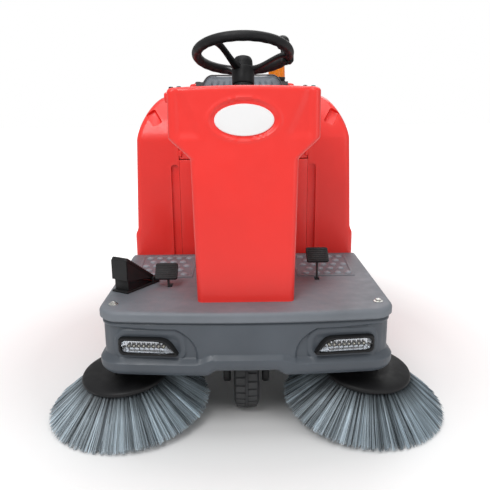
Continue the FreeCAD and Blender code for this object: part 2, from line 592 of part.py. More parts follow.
def make_steering():
    """The column, its shaft with a ball socket, the dished wheel, and the spinner knob on its clamp."""
    column = cut(steering_axis_rod("column_radius", "column_start",
                                   f"{SHAFT_LENGTH} - column_start - column_end"),
                 steering_axis_rod("shaft_radius + bearing_clear", 0, SHAFT_LENGTH))
    node("steering_column_tube", column)

    foot = f"(-{SHAFT_LENGTH})"
    socket = rod(0, 0, f"{foot} + cup_cut", "cup_radius", "cup_height")
    shaft = rod(0, 0, f"{foot} + cup_cut", "shaft_radius",
                f"{SHAFT_LENGTH} - cup_cut - hub_drop - hub_height / 2")
    node("steering_shaft", on_steering(cut(fuse(socket, shaft), ball(0, 0, foot, "ball_radius + run_gap"))))

    rim = bind(doc.addObject("Part::Torus", "Rim"), Radius1="rim_radius", Radius2="rim_tube")
    node("steering_rim", on_steering(rim))
    hub = rod(0, 0, "-hub_drop - hub_height / 2", "hub_radius", "hub_height")
    rise = "atan(hub_drop / (rim_radius - spoke_start))"
    spokes = []
    for angle in SPOKE_ANGLES:
        lie = turn("Z", angle) * turn("Y", f"90 deg - {rise}")
        spoke = bind(doc.addObject("Part::Cylinder", "Spoke"), Radius="spoke_radius",
                     Height=f"sqrt(hub_drop ^ 2 + (rim_radius - spoke_start) ^ 2)")
        spokes.append(place(spoke, f"spoke_start * cos({angle})", f"spoke_start * sin({angle})",
                            "-hub_drop", lie))
    ring = bind(doc.addObject("Part::Torus", "RimSeat"), Radius1="rim_radius", Radius2="rim_tube")
    node("steering_spider", on_steering(cut(fuse(hub, *spokes), ring)))
    top = "(-hub_drop + hub_height / 2)"
    dome = turned([(0, top), ("cap_radius", top), dome_arc("cap_radius", "cap_height"),
                   (0, f"{top} + cap_height")], "Z")
    node("steering_hub_cap", on_steering(dome))

    band = rod("rim_radius", "-clamp_width / 2", 0, "clamp_radius", "clamp_width", "Y")
    arm = bar("knob_reach + knob_arm / 2", "-knob_post", "rim_tube + clamp_gap", "knob_arm + 2 * knob_post",
              "2 * knob_post", "clamp_radius - rim_tube")
    post = rod("knob_reach", 0, "rim_tube + clamp_gap", "knob_post", "knob_height - rim_tube - clamp_gap")
    seat = bind(doc.addObject("Part::Torus", "ClampSeat"), Radius1="rim_radius", Radius2="rim_tube + clamp_gap")
    clamp = cut(fuse(band, arm, post), seat)
    node("spinner_clamp", on_steering(place(group(clamp), 0, 0, 0, "Z", "knob_angle")))
    bore = rod("knob_reach", 0, "knob_height - knob_radius - 1", "knob_post + bearing_clear", "knob_radius + 1")
    knob = cut(ball("knob_reach", 0, "knob_height", "knob_radius"), bore)
    node("spinner_knob", on_steering(place(group(knob), 0, 0, 0, "Z", "knob_angle")))


def make_front_wheel():
    """The fork with its ball head, the bearing, the axle, and the wheel with its hub motor."""
    pieces = [rod(0, "fork_y", f"{CROWN_TOP} - 1", "stem_radius", f"{BALL_HEIGHT} - {CROWN_TOP} + 1"),
              ball(0, "fork_y", BALL_HEIGHT, "ball_radius"),
              rod(0, "fork_y", f"{CROWN_TOP} - 1", "thrust_radius",
                  f"bearing_bottom - run_gap - {CROWN_TOP} + 1"),
              bar(0, "fork_y - leg_width / 2", f"{CROWN_TOP} - crown_thick", "2 * leg_x + leg_thick",
                  "leg_width", "crown_thick")]
    end = "(front_radius - leg_drop + leg_width / 2)"
    for side in SIDES:
        pieces.append(bar(f"{side} * leg_x", "fork_y - leg_width / 2", end, "leg_thick", "leg_width",
                          f"{CROWN_TOP} - {end}"))
        pieces.append(rod(f"{side} * leg_x - leg_thick / 2", "fork_y", end, "leg_width / 2", "leg_thick",
                          "X"))
    reach = "(2 * leg_x + leg_thick + 2 * axle_spare)"
    bore = rod(f"-{reach} / 2", "fork_y", "front_radius", "front_axle_radius", reach, "X")
    axle = rod(f"-{reach} / 2", "fork_y", "front_radius", "front_axle_radius", reach, "X")
    node("steering_fork", group(cut(fuse(*pieces), bore), axle))
    bearing = cut(rod(0, "fork_y", "bearing_bottom", "bearing_radius", f"{FRAME_TOP} - bearing_bottom"),
                  rod(0, "fork_y", "bearing_bottom - 1", "stem_radius + bearing_clear",
                      f"{FRAME_TOP} - bearing_bottom + 2"))
    node("fork_bearing", bearing)

    spot = (0, "fork_y", "front_radius")
    half, bore_radius = "front_rim_width / 2", "front_axle_radius + bearing_clear"
    inner = f"{FRONT_RIM} - drum_wall"
    side_gap = "leg_x - leg_thick / 2 - motor_gap"
    motor = [(f"-({side_gap})", bore_radius), (f"-({side_gap})", "motor_boss"),
             (f"-({half}) + drum_wall", "motor_boss"), (f"-({half}) + drum_wall", inner),
             (f"{half} - drum_wall", inner), (f"{half} - drum_wall", "motor_boss"),
             (side_gap, "motor_boss"), (side_gap, bore_radius)]
    ring = [(f"-({half})", inner), (f"-({half})", FRONT_RIM), (half, FRONT_RIM),
            (half, inner)]
    node("front_wheel_rim", place(group(turned(ring, "X"), turned(motor, "X", "HubMotor")), *spot))
    node("front_tyre", place(tyre("front_radius", FRONT_RIM, "front_width / 2", half), *spot))


def tyre(outer, inner, half, seat_half):
    """Return a solid tyre with round shoulders."""
    tread = f"({half} - tyre_shoulder)"
    shoulder = ("arc", "tyre_shoulder", 1)
    return turned([(f"-{seat_half}", inner), (f"-{half}", f"{inner} + tyre_shoulder"),
                   (f"-{half}", f"{outer} - tyre_shoulder"), shoulder, (f"-{tread}", outer),
                   (tread, outer), shoulder, (half, f"{outer} - tyre_shoulder"),
                   (half, f"{inner} + tyre_shoulder"), (seat_half, inner)], "X")


def make_pedals():
    """The throttle with its base, the brake pedal and the flap pedal."""
    spot = ("throttle_x", "throttle_y", "deck_top + heel_height")
    width = "throttle_width"
    plate = bar(0, "-throttle_length", "-heel_radius / 2", width, "throttle_length", "throttle_thick")
    heel = rod(f"-{width} / 2", 0, 0, "heel_radius", width, "X")
    bore = rod(f"-{width} / 2 - 1", 0, 0, "pin_radius + bearing_clear", f"{width} + 2", "X")
    lie = turn("Z", "-throttle_yaw") * turn("X", "-throttle_slope")
    node("throttle_pedal", place(group(cut(fuse(plate, heel), bore)), *spot, lie))
    outer = f"({width} + 2 * (run_gap + base_rib))"
    floor = bar(0, "-base_length", "-heel_height", outer, "base_length + heel_height", "base_thick")
    pieces = [floor, rod(f"-{outer} / 2", 0, 0, "pin_radius", outer, "X")]
    for side in SIDES:
        pieces.append(bar(f"{side} * ({width} / 2 + run_gap + base_rib / 2)", "-heel_height", "-heel_height",
                          "base_rib", "2 * heel_height", "heel_height + heel_radius"))
    pieces.append(bar(0, "-stop_back", "-heel_height", "stop_width", "stop_width", "stop_rise"))
    node("throttle_base", place(group(fuse(*pieces)), *spot, turn("Z", "-throttle_yaw")))

    for label, pedal_x, reach, slope in (("brake_pedal", "-brake_x", "brake_reach", "brake_slope"),
                                         ("flap_pedal", "flap_pedal_x", "flap_reach", "flap_slope")):
        hub = rod("-pedal_hub_width / 2", 0, 0, "pedal_hub_radius", "pedal_hub_width", "X")
        arm = bar(0, 0, "-pedal_arm_width / 2", "pedal_arm_thick", reach, "pedal_arm_width")
        bore = rod("-pedal_hub_width", 0, 0, "pedal_pin_radius + bearing_clear", "2 * pedal_hub_width", "X")
        face = bar(0, reach, "-pad_length / 2", "pad_width", "pad_thick", "pad_length")
        lever = group(cut(fuse(hub, arm), bore), face)
        node(label, place(lever, pedal_x, "pedal_y", "pedal_pin_height", "X", slope))


def brush_rotation(side):
    """Return the lean of a side brush, forwards and outwards."""
    across = FreeCAD.Vector(number("cos(brush_lean)"), side * number("sin(brush_lean)"), 0)
    return FreeCAD.Rotation(across, number("brush_tilt"))


def on_brush(side, *pieces):
    """Carry pieces from a side brush's own frame, +Z up its shaft, to their place."""
    return place(group(*pieces), f"{side} * brush_x", "brush_y", "brush_radius * sin(brush_tilt)",
                 brush_rotation(side))


def make_side_brushes():
    """Each side brush: the lifting arm with its motor, the disc and the bristles."""
    for side, label in ((-1, "right"), (1, "left")):
        top = "(brush_plate_height + brush_plate_thick)"
        bristles = turned([("bristle_cavity", 0), ("brush_radius", 0), ("bristle_root", "brush_plate_height"),
                           ("cavity_root", "brush_plate_height")], "Z")
        node(f"side_brush_bristles_{label}", on_brush(side, bristles))
        disc = cut(fuse(rod(0, 0, "brush_plate_height", "brush_plate_radius", "brush_plate_thick"),
                        rod(0, 0, top, "disc_hub_radius", "disc_hub_height")),
                   rod(0, 0, "brush_plate_height - 1", "brush_shaft_radius + bearing_clear",
                       "brush_plate_thick + disc_hub_height + 2"))
        node(f"side_brush_disc_{label}", on_brush(side, disc))
        foot = f"({top} + disc_hub_height + run_gap)"
        motor = on_brush(side, fuse(rod(0, 0, foot, "brush_motor_radius", "brush_motor_height"),
                                    rod(0, 0, "brush_plate_height", "brush_shaft_radius",
                                        f"{foot} - brush_plate_height + 1")))
        arm_x, low = f"{side} * brush_arm_x", "brush_arm_height - brush_arm_thick / 2"
        motor_y = "(brush_y - arm_lead)"
        beam = bar(arm_x, motor_y, low, "brush_arm_width", f"brush_arm_y - {motor_y}", "brush_arm_thick")
        hub = rod(f"{arm_x} - brush_arm_width / 2", "brush_arm_y", "brush_arm_height", "brush_hub_radius",
                  "brush_arm_width", "X")
        link = bar(f"{side} * (brush_arm_x + brush_x + motor_mount) / 2", motor_y, low,
                   "brush_x + motor_mount - brush_arm_x", "link_depth", "link_height")
        bore = rod(f"{arm_x} - brush_arm_width", "brush_arm_y", "brush_arm_height",
                   "brush_pin_radius + bearing_clear", "2 * brush_arm_width", "X")
        node(f"side_brush_arm_{label}", cut(fuse(beam, hub, link, motor), bore))


def tower(side, shrink, low, front_shrink):
    """Return one side tower's block, with its front sloped back above the shoulder."""
    outer = [(f"{side} * ({TOWER_INNER} + {shrink})", low),
             (f"{side} * (body_width / 2 - {shrink})", low),
             (f"{side} * (body_width / 2 - {shrink})", "shoulder_height"),
             (f"{side} * (tower_top_outer - {shrink})", f"tower_height - {shrink}"),
             (f"{side} * ({TOWER_INNER} + {shrink})", f"tower_height - {shrink}")]
    front = f"(body_front + {front_shrink})"
    block = pad("XZ", outer, front, f"body_rear - {front_shrink} - {front}")
    above = "(tower_height + slope_run)"
    run = f"(slope_run * ({above} - shoulder_height) / (tower_height - shoulder_height))"
    slope = pad("YZ", [(front, "shoulder_height"), (f"{front} + {run}", above), (f"{front} - 1", above),
                       (f"{front} - 1", "shoulder_height")], "-body_width", "2 * body_width")
    return cut(block, slope)


def make_body():
    """The rear body: front panel with hinge blocks, side towers, skirts, rear cowl and rear bumper."""
    low = FRAME_TOP
    panel = bar(0, "body_front", low, f"2 * {TOWER_INNER}", "panel_wall",
                f"seat_deck_height - run_gap - {low}")
    pieces = [panel]
    for side in SIDES:
        spot = f"{side} * ({TOWER_INNER} - hood_ear / 2)"
        block = bar(spot, "hood_pin_y - hood_ear", "hood_pin_height - hood_ear", "hood_ear", "2 * hood_ear",
                    "2 * hood_ear")
        bore = rod(f"-{TOWER_INNER} - 1", "hood_pin_y", "hood_pin_height", "hood_pin_radius + bearing_clear",
                   f"2 * {TOWER_INNER} + 2", "X")
        pieces.append(cut(block, bore))
    node("body_front_panel", group(*pieces))
    node("side_towers", group(*[cut(tower(side, 0, low, 0), tower(side, "panel_wall", f"{low} - 1", "panel_wall"))
                                for side in SIDES]))
    skirts = []
    for side in SIDES:
        plate = bar(f"{side} * (body_width / 2 - skirt_wall / 2)", "body_front", "skirt_bottom", "skirt_wall",
                    "body_rear - body_front", f"{low} - skirt_bottom")
        arch = rod("-body_width", "rear_y", "rear_radius", "arch_radius", "2 * body_width", "X")
        skirts.append(cut(plate, arch))
    skirts.append(bar(0, "body_rear", RAIL_LOW, "body_width", "rear_bumper_depth", "rail_depth"))
    node("lower_skirts", group(*skirts))

    top = "cowl_height"
    shell = [(COWL_FRONT, "seat_deck_height"), (COWL_FRONT, top), ("body_rear - cowl_slope", top),
             ("body_rear", f"{top} - cowl_slope"), ("body_rear", "seat_deck_height")]
    hollow = [(f"{COWL_FRONT} + panel_wall", "seat_deck_height - 1"),
              (f"{COWL_FRONT} + panel_wall", f"{top} - panel_wall"),
              ("body_rear - cowl_slope - panel_wall / 2", f"{top} - panel_wall"),
              ("body_rear - panel_wall", f"{top} - cowl_slope - panel_wall / 2"),
              ("body_rear - panel_wall", "seat_deck_height - 1")]
    cowl = cut(pad("YZ", shell, f"-{TOWER_INNER}", f"2 * {TOWER_INNER}"),
               pad("YZ", hollow, f"-{TOWER_INNER} + panel_wall", f"2 * ({TOWER_INNER} - panel_wall)"))
    back = bar(0, "body_rear - panel_wall", low, f"2 * {TOWER_INNER}", "panel_wall", f"seat_deck_height - {low}")
    node("rear_cowl", group(cowl, back))


def make_seat():
    """The hinged seat deck, the seat frame, and the two cushions."""
    half = f"({TOWER_INNER} - seat_gap)"
    start = "hood_pin_y"
    sheet_plate = bar(0, start, "seat_deck_height", f"2 * {half}",
                      f"{COWL_FRONT} - 2 * seat_gap - {start}", "seat_deck_thick")
    pin = rod(f"-{half}", "hood_pin_y", "hood_pin_height", "hood_pin_radius", f"2 * {half}", "X")
    lug = bar(0, "hood_pin_y - lug_depth / 2", f"{SEAT_LEVEL} - seat_deck_thick / 2",
              f"2 * ({TOWER_INNER} - hood_ear - seat_gap)", "lug_depth",
              f"hood_pin_height - {SEAT_LEVEL} + seat_deck_thick / 2")
    clear = [bar(f"{side} * ({TOWER_INNER} - hood_ear / 2)", "hood_pin_y - 2 * hood_ear",
                 "seat_deck_height - 1",
                 "hood_ear + 2 * run_gap", "4 * hood_ear", "seat_deck_thick + 2") for side in SIDES]
    node("seat_deck", fuse(cut(sheet_plate, *clear), pin, lug))

    back_spot = (0, BACK_Y, "back_start", "X", "-back_tilt")
    pan = bar(0, "seat_front", SEAT_LEVEL, "seat_width - 2 * pan_inset",
              f"{COWL_FRONT} - pan_room - seat_front", "pan_thick")
    back_plate = place(group(bar(0, "back_thick + run_gap", "-back_drop", "seat_width - 2 * pan_inset",
                                 "back_plate_thick", "back_drop + back_height - pan_inset")), *back_spot)
    node("seat_frame", group(pan, back_plate))
    node("seat_cushion", bar(0, "seat_front", CUSHION_LEVEL, "seat_width",
                             f"{BACK_Y} - seat_crack - seat_front", "cushion_thick"))
    node("seat_backrest", place(group(bar(0, 0, 0, "seat_width", "back_thick", "back_height")), *back_spot))


def make_beacon():
    """The beacon's base and lens on the rear cowl."""
    node("beacon_base", rod("beacon_x", "body_rear - beacon_back", "cowl_height", "beacon_radius",
                            "beacon_base_height"))
    top = "cowl_height + beacon_base_height"
    rounded = "(beacon_height - beacon_dome)"
    lens = turned([(0, 0), ("beacon_lens_radius", 0), ("beacon_lens_radius", rounded),
                   dome_arc("beacon_lens_radius", "beacon_dome"),
                   (0, "beacon_height")], "Z")
    node("beacon_lens", place(lens, "beacon_x", "body_rear - beacon_back", top))


def make_main_broom():
    """The broom, its housing plates with the drive motor, and the front flap."""
    half, top, clear = BROOM_HOUSE_HALF, BROOM_HOUSE_TOP, "(broom_radius + house_clear)"
    front, rear = f"(broom_y - {clear})", f"(broom_y + {clear})"
    height = f"({top} - house_bottom)"
    pieces = [bar(0, f"{front} - house_wall", top, f"2 * {half}", f"2 * ({clear} + house_wall)", "house_wall"),
              bar(0, f"{front} - house_wall", "house_bottom", f"2 * {half}", "house_wall", height),
              bar(0, rear, "throw_height", f"2 * {half}", "house_wall", f"{top} - throw_height")]
    for side in SIDES:
        plate = bar(f"{side} * ({half} - house_wall / 2)", front, "house_bottom", "house_wall", f"2 * {clear}",
                    height)
        pieces.append(cut(plate, rod(f"-{half} - 1", "broom_y", "broom_radius",
                                     "broom_shaft_radius + bearing_clear", f"2 * {half} + 2", "X")))
        for hanger_y in (front, f"{rear} - beam_width"):
            pieces.append(bar(f"{side} * rail_x", hanger_y, f"{top} + house_wall", "rail_width", "beam_width",
                              f"{RAIL_LOW} - {top} - house_wall"))
    pieces.append(rod(f"{half} + broom_shaft_spare + run_gap", "broom_y", "broom_radius", "broom_motor_radius",
                      "broom_motor_length", "X"))
    pieces.append(bar(f"{half} + broom_shaft_spare / 2", "broom_y - broom_motor_radius",
                      "broom_radius + broom_shaft_radius + broom_shaft_spare", "broom_shaft_spare",
                      "2 * broom_motor_radius", "broom_motor_radius"))
    core = fuse(rod("-broom_half", "broom_y", "broom_radius", "broom_core_radius", "2 * broom_half", "X"),
                rod(f"-{half}", "broom_y", "broom_radius", "broom_shaft_radius",
                    f"2 * {half} + broom_shaft_spare", "X"))
    node("broom_core", core)
    sleeve = cut(rod("-broom_half", "broom_y", "broom_radius", "broom_radius", "2 * broom_half", "X"),
                 rod("-broom_half - 1", "broom_y", "broom_radius", "broom_core_radius", "2 * broom_half + 2",
                     "X"))
    node("broom_bristles", sleeve)

    flap_y = f"({front} - house_wall - flap_hub_radius - run_gap)"
    hub = rod("-broom_half", flap_y, "flap_pin_height", "flap_hub_radius", "2 * broom_half", "X")
    sheet_flap = bar(0, f"{flap_y} - flap_thick / 2", "flap_floor", "2 * broom_half", "flap_thick",
                     "flap_pin_height - flap_floor")
    node("front_flap", cut(fuse(hub, sheet_flap),
                           rod(f"-{half}", flap_y, "flap_pin_height", "flap_pin_radius + bearing_clear",
                               f"2 * {half}", "X")))
    ears = [bar(f"{side} * ({half} - house_wall / 2)", f"{flap_y} - flap_hub_radius",
                "flap_pin_height - flap_hub_radius", "house_wall",
                "2 * flap_hub_radius + run_gap", "2 * flap_hub_radius") for side in SIDES]
    pin = rod(f"-{half}", flap_y, "flap_pin_height", "flap_pin_radius", f"2 * {half}", "X")
    node("broom_housing", group(*pieces, fuse(pin, *ears)))


def make_hopper():
    """Make the dirt hopper drawer with its handle, and return the runners that it slides on."""
    depth, height = "(hopper_rear - hopper_front)", "(hopper_top - hopper_bottom)"
    outer = bar(0, "hopper_front", "hopper_bottom", "2 * hopper_half", depth, height)
    inner = bar(0, "hopper_front + hopper_wall", "hopper_bottom + hopper_wall",
                "2 * (hopper_half - hopper_wall)", f"{depth} - 2 * hopper_wall", height)
    window = bar(0, "hopper_front - 1", "hopper_lip", "2 * (hopper_half - hopper_wall)", "hopper_wall + 2",
                 height)
    flanges = [bar(f"{side} * (hopper_half + flange_reach / 2 - 1)", "hopper_front",
                   "hopper_top - flange_thick", "flange_reach + 2", depth, "flange_thick") for side in SIDES]
    posts = [rod(f"{side} * handle_half", "hopper_rear", "handle_height", "handle_post_radius",
                 "handle_reach", "Y") for side in SIDES]
    grip = rod("-handle_half - 2 * handle_radius", "hopper_rear + handle_reach", "handle_height",
               "handle_radius", "2 * (handle_half + 2 * handle_radius)", "X")
    node("hopper_drawer", group(fuse(cut(outer, inner, window), *flanges), fuse(*posts, grip)))
    rest = "hopper_top - flange_thick - run_gap - runner_thick"
    return [bar(f"{side} * ({RAIL_OUTER} - runner_width / 2)", "hopper_front", rest, "runner_width", depth,
                "runner_thick") for side in SIDES]


def make_rear_wheels(runners):
    """The axle brackets with their stub axles and the hopper's runners, and the two rear wheels."""
    pieces = list(runners)
    hub_end = "(rear_wheel_x + rear_width / 2 + run_gap)"
    for side in SIDES:
        plate = bar(f"{side} * ({RAIL_OUTER} + bracket_thick / 2)", "rear_y - bracket_width / 2",
                    "rear_radius - bracket_width / 2", "bracket_thick", "bracket_width",
                    f"{FRAME_TOP} - rear_radius + bracket_width / 2")
        stub = side_rod(side, f"{RAIL_OUTER} + bracket_thick / 2", "rear_y", "rear_radius",
                        "rear_axle_radius", f"{hub_end} - {RAIL_OUTER} - bracket_thick / 2")
        pieces.append(fuse(plate, stub))
    node("rear_axle_brackets", group(*pieces))
    for side, label in ((-1, "right"), (1, "left")):
        spot = (f"{side} * rear_wheel_x", "rear_y", "rear_radius")
        half, bore = "rear_rim_width / 2", "rear_axle_radius + bearing_clear"
        dish = "(rear_rim_radius - rim_flange)"
        right = [(half, dish), ("rim_web / 2", dish), ("rim_web / 2", "rear_hub_radius"),
                 (half, "rear_hub_radius"), (half, bore)]
        left = [(f"-({across})", up) for across, up in reversed(right)]
        outline = [(f"-{half}", "rear_rim_radius"), (half, "rear_rim_radius")] + right + left
        node(f"rear_rim_{label}", place(turned(outline, "X"), *spot))
        node(f"rear_tyre_{label}", place(tyre("rear_radius", "rear_rim_radius", "rear_width / 2", half), *spot))


def make_power():
    """The batteries on their tray, the dust filter box, and the suction fan."""
    tray = bar(0, "battery_y - tray_thick", FRAME_TOP, "2 * battery_pitch", "battery_depth + 2 * tray_thick",
               "tray_thick")
    cells = [bar(f"{side} * battery_pitch / 2", "battery_y", f"{FRAME_TOP} + tray_thick", "battery_width",
                 "battery_depth", "battery_height") for side in SIDES]
    node("batteries", group(tray, *cells))
    level = f"({FRAME_TOP} + filter_height)"
    spot = (0, "filter_y + filter_depth / 2")
    filter_box = bar(0, "filter_y", FRAME_TOP, "2 * filter_half", "filter_depth", "filter_height")
    case = cut(rod(*spot, level, "fan_case_radius", "fan_depth"),
               rod(*spot, f"{level} + fan_wall", "fan_case_radius - fan_wall", "fan_depth"))
    node("filter_and_fan_case", group(filter_box, fuse(case, rod(*spot, level, "fan_shaft",
                                                               "fan_depth - fan_wall"))))
    blades = []
    for index in range(8):
        blade = box("fan_hub_radius - 2", "-fan_blade / 2", f"{level} + 2 * fan_wall",
                    "fan_radius - fan_hub_radius + 2", "fan_blade", "fan_depth - 4 * fan_wall")
        blades.append(place(group(blade), *spot, 0, "Z", 45 * index))
    hub = rod(*spot, f"{level} + fan_wall + run_gap", "fan_hub_radius", "fan_depth - 3 * fan_wall")
    bore = rod(*spot, level, "fan_shaft + bearing_clear", "fan_depth")
    node("fan_impeller", cut(fuse(hub, *blades), bore))


def check_and_write():
    """Stop on a failed feature or a bad solid, then write each node's solids."""
    doc.recompute()
    for piece in doc.Objects:
        if "Invalid" in piece.State or "Error" in piece.State:
            raise RuntimeError(f"{piece.Label} ({piece.Name}) failed: {piece.State}")
    os.makedirs("parts", exist_ok=True)
    for piece in nodes:
        shape = piece.Shape
        if shape.isNull() or not shape.isValid() or not shape.Solids:
            raise RuntimeError(f"{piece.Label} has no valid solid")
        shape.exportStep(os.path.join("parts", piece.Label + ".step"))
    print(f"{len(nodes)} nodes written")


def main():
    """Build the whole sweeper."""
    fill_sheet()
    make_frame()
    make_deck()
    make_headlamps()
    make_console()
    make_controls()
    make_steering()
    make_front_wheel()
    make_pedals()
    make_side_brushes()
    make_body()
    make_seat()
    make_beacon()
    make_main_broom()
    make_rear_wheels(make_hopper())
    make_power()
    check_and_write()


main()
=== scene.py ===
"""Looks of a ride-on sweeper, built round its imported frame. Metres; +Z up; the front faces -Y."""

import logging
import math
import random
from dataclasses import dataclass
from enum import Enum
from functools import lru_cache
from typing import Callable, Iterable, Optional, Sequence

import bmesh
import bpy
from mathutils import Matrix, Vector


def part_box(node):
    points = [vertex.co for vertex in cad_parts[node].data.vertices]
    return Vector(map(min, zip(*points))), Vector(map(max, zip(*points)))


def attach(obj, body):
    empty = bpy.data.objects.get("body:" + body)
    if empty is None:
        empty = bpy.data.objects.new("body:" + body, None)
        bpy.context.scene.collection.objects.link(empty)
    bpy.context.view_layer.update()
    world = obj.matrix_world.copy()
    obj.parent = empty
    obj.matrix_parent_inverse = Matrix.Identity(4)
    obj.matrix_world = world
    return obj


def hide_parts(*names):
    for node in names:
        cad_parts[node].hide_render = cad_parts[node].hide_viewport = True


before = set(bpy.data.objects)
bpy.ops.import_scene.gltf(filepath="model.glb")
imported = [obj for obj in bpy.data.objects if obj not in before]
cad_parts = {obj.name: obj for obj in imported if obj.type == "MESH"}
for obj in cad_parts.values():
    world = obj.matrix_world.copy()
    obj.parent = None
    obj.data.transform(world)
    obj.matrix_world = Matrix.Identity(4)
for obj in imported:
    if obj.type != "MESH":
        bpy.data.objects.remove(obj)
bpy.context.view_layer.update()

log = logging.getLogger("sweeper")
Point = tuple[float, float, float]
Plane = tuple[float, float]
Colour = tuple[float, float, float]

SMOOTH_ANGLE = math.radians(32)
WELD = 0.00002
SIDES = (-1, 1)


@lru_cache(maxsize=None)
def box_of(node: str) -> tuple[Vector, Vector]:
    """Return the lowest and highest corners of a CAD node, worked out once."""
    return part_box(node)


class Axis(Enum):
    """The direction that a turned piece points along."""

    X = 0
    Y = 1
    Z = 2


class Side(Enum):
    """The driver's sides, with the sign of X that each has."""

    RIGHT = -1
    LEFT = 1

    @property
    def word(self) -> str:
        """Return the side's name as the nodes use it."""
        return self.name.lower()

    def carries(self, node: str) -> list[str]:
        """Return a node that one piece stands for on both sides: the left piece has it."""
        return [node] if self is Side.LEFT else []


# ------------------------------------------------------------------ finishes


class NodeBoard:
    """A material's node tree with short calls to add and link nodes."""

    def __init__(self, name: str) -> None:
        """Start a material that has one Principled shader.

        Args:
            name: The material's name.
        """
        self.material = bpy.data.materials.new(name)
        self.material.use_nodes = True
        self.tree = self.material.node_tree
        self.shader = self.tree.nodes["Principled BSDF"]

    def add(self, kind: str, **values: object) -> bpy.types.Node:
        """Add a node and set its properties or inputs.

        Args:
            kind: The node's type name without its ShaderNode prefix.
            values: Properties by name; a name that isn't a property is an input.
        Returns:
            The new node.
        """
        node = self.tree.nodes.new("ShaderNode" + kind)
        for name, value in values.items():
            if hasattr(node, name):
                setattr(node, name, value)
            else:
                node.inputs[name.replace("_", " ")].default_value = value
        return node

    def link(self, source: bpy.types.NodeSocket, target: bpy.types.NodeSocket) -> None:
        """Link two sockets."""
        self.tree.links.new(source, target)

    def set(self, **values: object) -> None:
        """Set the shader's own sockets by name."""
        for name, value in values.items():
            self.shader.inputs[name.replace("_", " ")].default_value = value

    def noise(self, scale: float, detail: float = 4.0) -> bpy.types.NodeSocket:
        """Return the value of a noise on object coordinates."""
        place = self.add("TexCoord")
        texture = self.add("TexNoise", Scale=scale, Detail=detail)
        self.link(place.outputs["Object"], texture.inputs["Vector"])
        return texture.outputs["Fac"]

    def remap(self, value: bpy.types.NodeSocket, low: float, high: float,
              start: float = 0.3, end: float = 0.7) -> bpy.types.NodeSocket:
        """Return a value's span from start to end spread from low to high."""
        node = self.add("MapRange")
        for name, number in (("From Min", start), ("From Max", end), ("To Min", low), ("To Max", high)):
            node.inputs[name].default_value = number
        self.link(value, node.inputs["Value"])
        return node.outputs["Result"]

    def mix(self, share: bpy.types.NodeSocket, first: object, second: object) -> bpy.types.NodeSocket:
        """Return two colours mixed by a share; each is a colour or a socket."""
        node = self.add("Mix", data_type="RGBA")
        self.link(share, node.inputs["Factor"])
        for source, name in ((first, "A"), (second, "B")):
            socket = [slot for slot in node.inputs if slot.name == name and slot.type == "RGBA"][0]
            if isinstance(source, bpy.types.NodeSocket):
                self.link(source, socket)
            else:
                socket.default_value = (*source, 1.0)
        return [slot for slot in node.outputs if slot.type == "RGBA"][0]

    def bump(self, height: bpy.types.NodeSocket, depth: float, strength: float = 1.0,
             base: Optional[bpy.types.NodeSocket] = None) -> bpy.types.NodeSocket:
        """Return a normal bumped by a height, on top of another bump if one is given."""
        node = self.add("Bump")
        node.inputs["Strength"].default_value = strength
        node.inputs["Distance"].default_value = depth
        self.link(height, node.inputs["Height"])
        if base is not None:
            self.link(base, node.inputs["Normal"])
        return node.outputs["Normal"]


def shade(colour: Colour, factor: float) -> Colour:
    """Return a colour made darker or lighter."""
    return tuple(min(1.0, channel * factor) for channel in colour)


@dataclass(frozen=True)
class Moulded:
    """A moulded or coated surface: two tones in soft patches, a fine grain and worn edges."""

    name: str
    colour: Colour
    roughness: float = 0.4
    grain: float = 900.0
    grain_depth: float = 0.0002
    grain_strength: float = 0.25
    patch: float = 5.0
    tone: float = 0.12
    metallic: float = 0.0
    coat: float = 0.0
    wear: float = 0.15
    wear_colour: Colour = (0.5, 0.5, 0.5)
    specular: float = 0.5

    def make(self) -> bpy.types.Material:
        """Return the material."""
        board = NodeBoard(self.name)
        patches = board.remap(board.noise(self.patch), 0.0, 1.0)
        colour = board.mix(patches, shade(self.colour, 1 - self.tone), shade(self.colour, 1 + self.tone))
        edges = board.remap(board.add("NewGeometry").outputs["Pointiness"], 0.0, self.wear, 0.52, 0.62)
        colour = board.mix(edges, colour, self.wear_colour)
        board.link(colour, board.shader.inputs["Base Color"])
        rough = board.remap(board.noise(self.patch * 6), self.roughness * 0.85, min(1, self.roughness * 1.2))
        board.link(rough, board.shader.inputs["Roughness"])
        grain = board.bump(board.noise(self.grain, 2), self.grain_depth, self.grain_strength)
        waves = board.bump(board.noise(self.patch * 4, 1), self.grain_depth * 4, self.grain_strength * 0.4,
                           grain)
        board.link(waves, board.shader.inputs["Normal"])
        board.set(Metallic=self.metallic, Coat_Weight=self.coat, Coat_Roughness=0.08,
                  Specular_IOR_Level=self.specular)
        return board.material


@dataclass(frozen=True)
class PaleFloor:
    """A matt studio floor that grows brighter away from the object."""

    name: str
    colour: Colour
    near: float = 0.8
    far: float = 2.6
    glow: float = 0.85

    def make(self) -> bpy.types.Material:
        """Return the material."""
        board = NodeBoard(self.name)
        board.link(board.mix(board.remap(board.noise(3.0), 0.0, 1.0), shade(self.colour, 0.99), self.colour),
                   board.shader.inputs["Base Color"])
        reach = board.add("VectorMath", operation="LENGTH")
        board.link(board.add("TexCoord").outputs["Object"], reach.inputs[0])
        seen = board.add("Math", operation="MULTIPLY")
        board.link(board.remap(reach.outputs["Value"], 0.0, self.glow, self.near, self.far), seen.inputs[0])
        board.link(board.add("LightPath").outputs["Is Camera Ray"], seen.inputs[1])
        board.link(seen.outputs["Value"], board.shader.inputs["Emission Strength"])
        board.set(Emission_Color=(1.0, 1.0, 1.0, 1.0), Roughness=0.7)
        return board.material


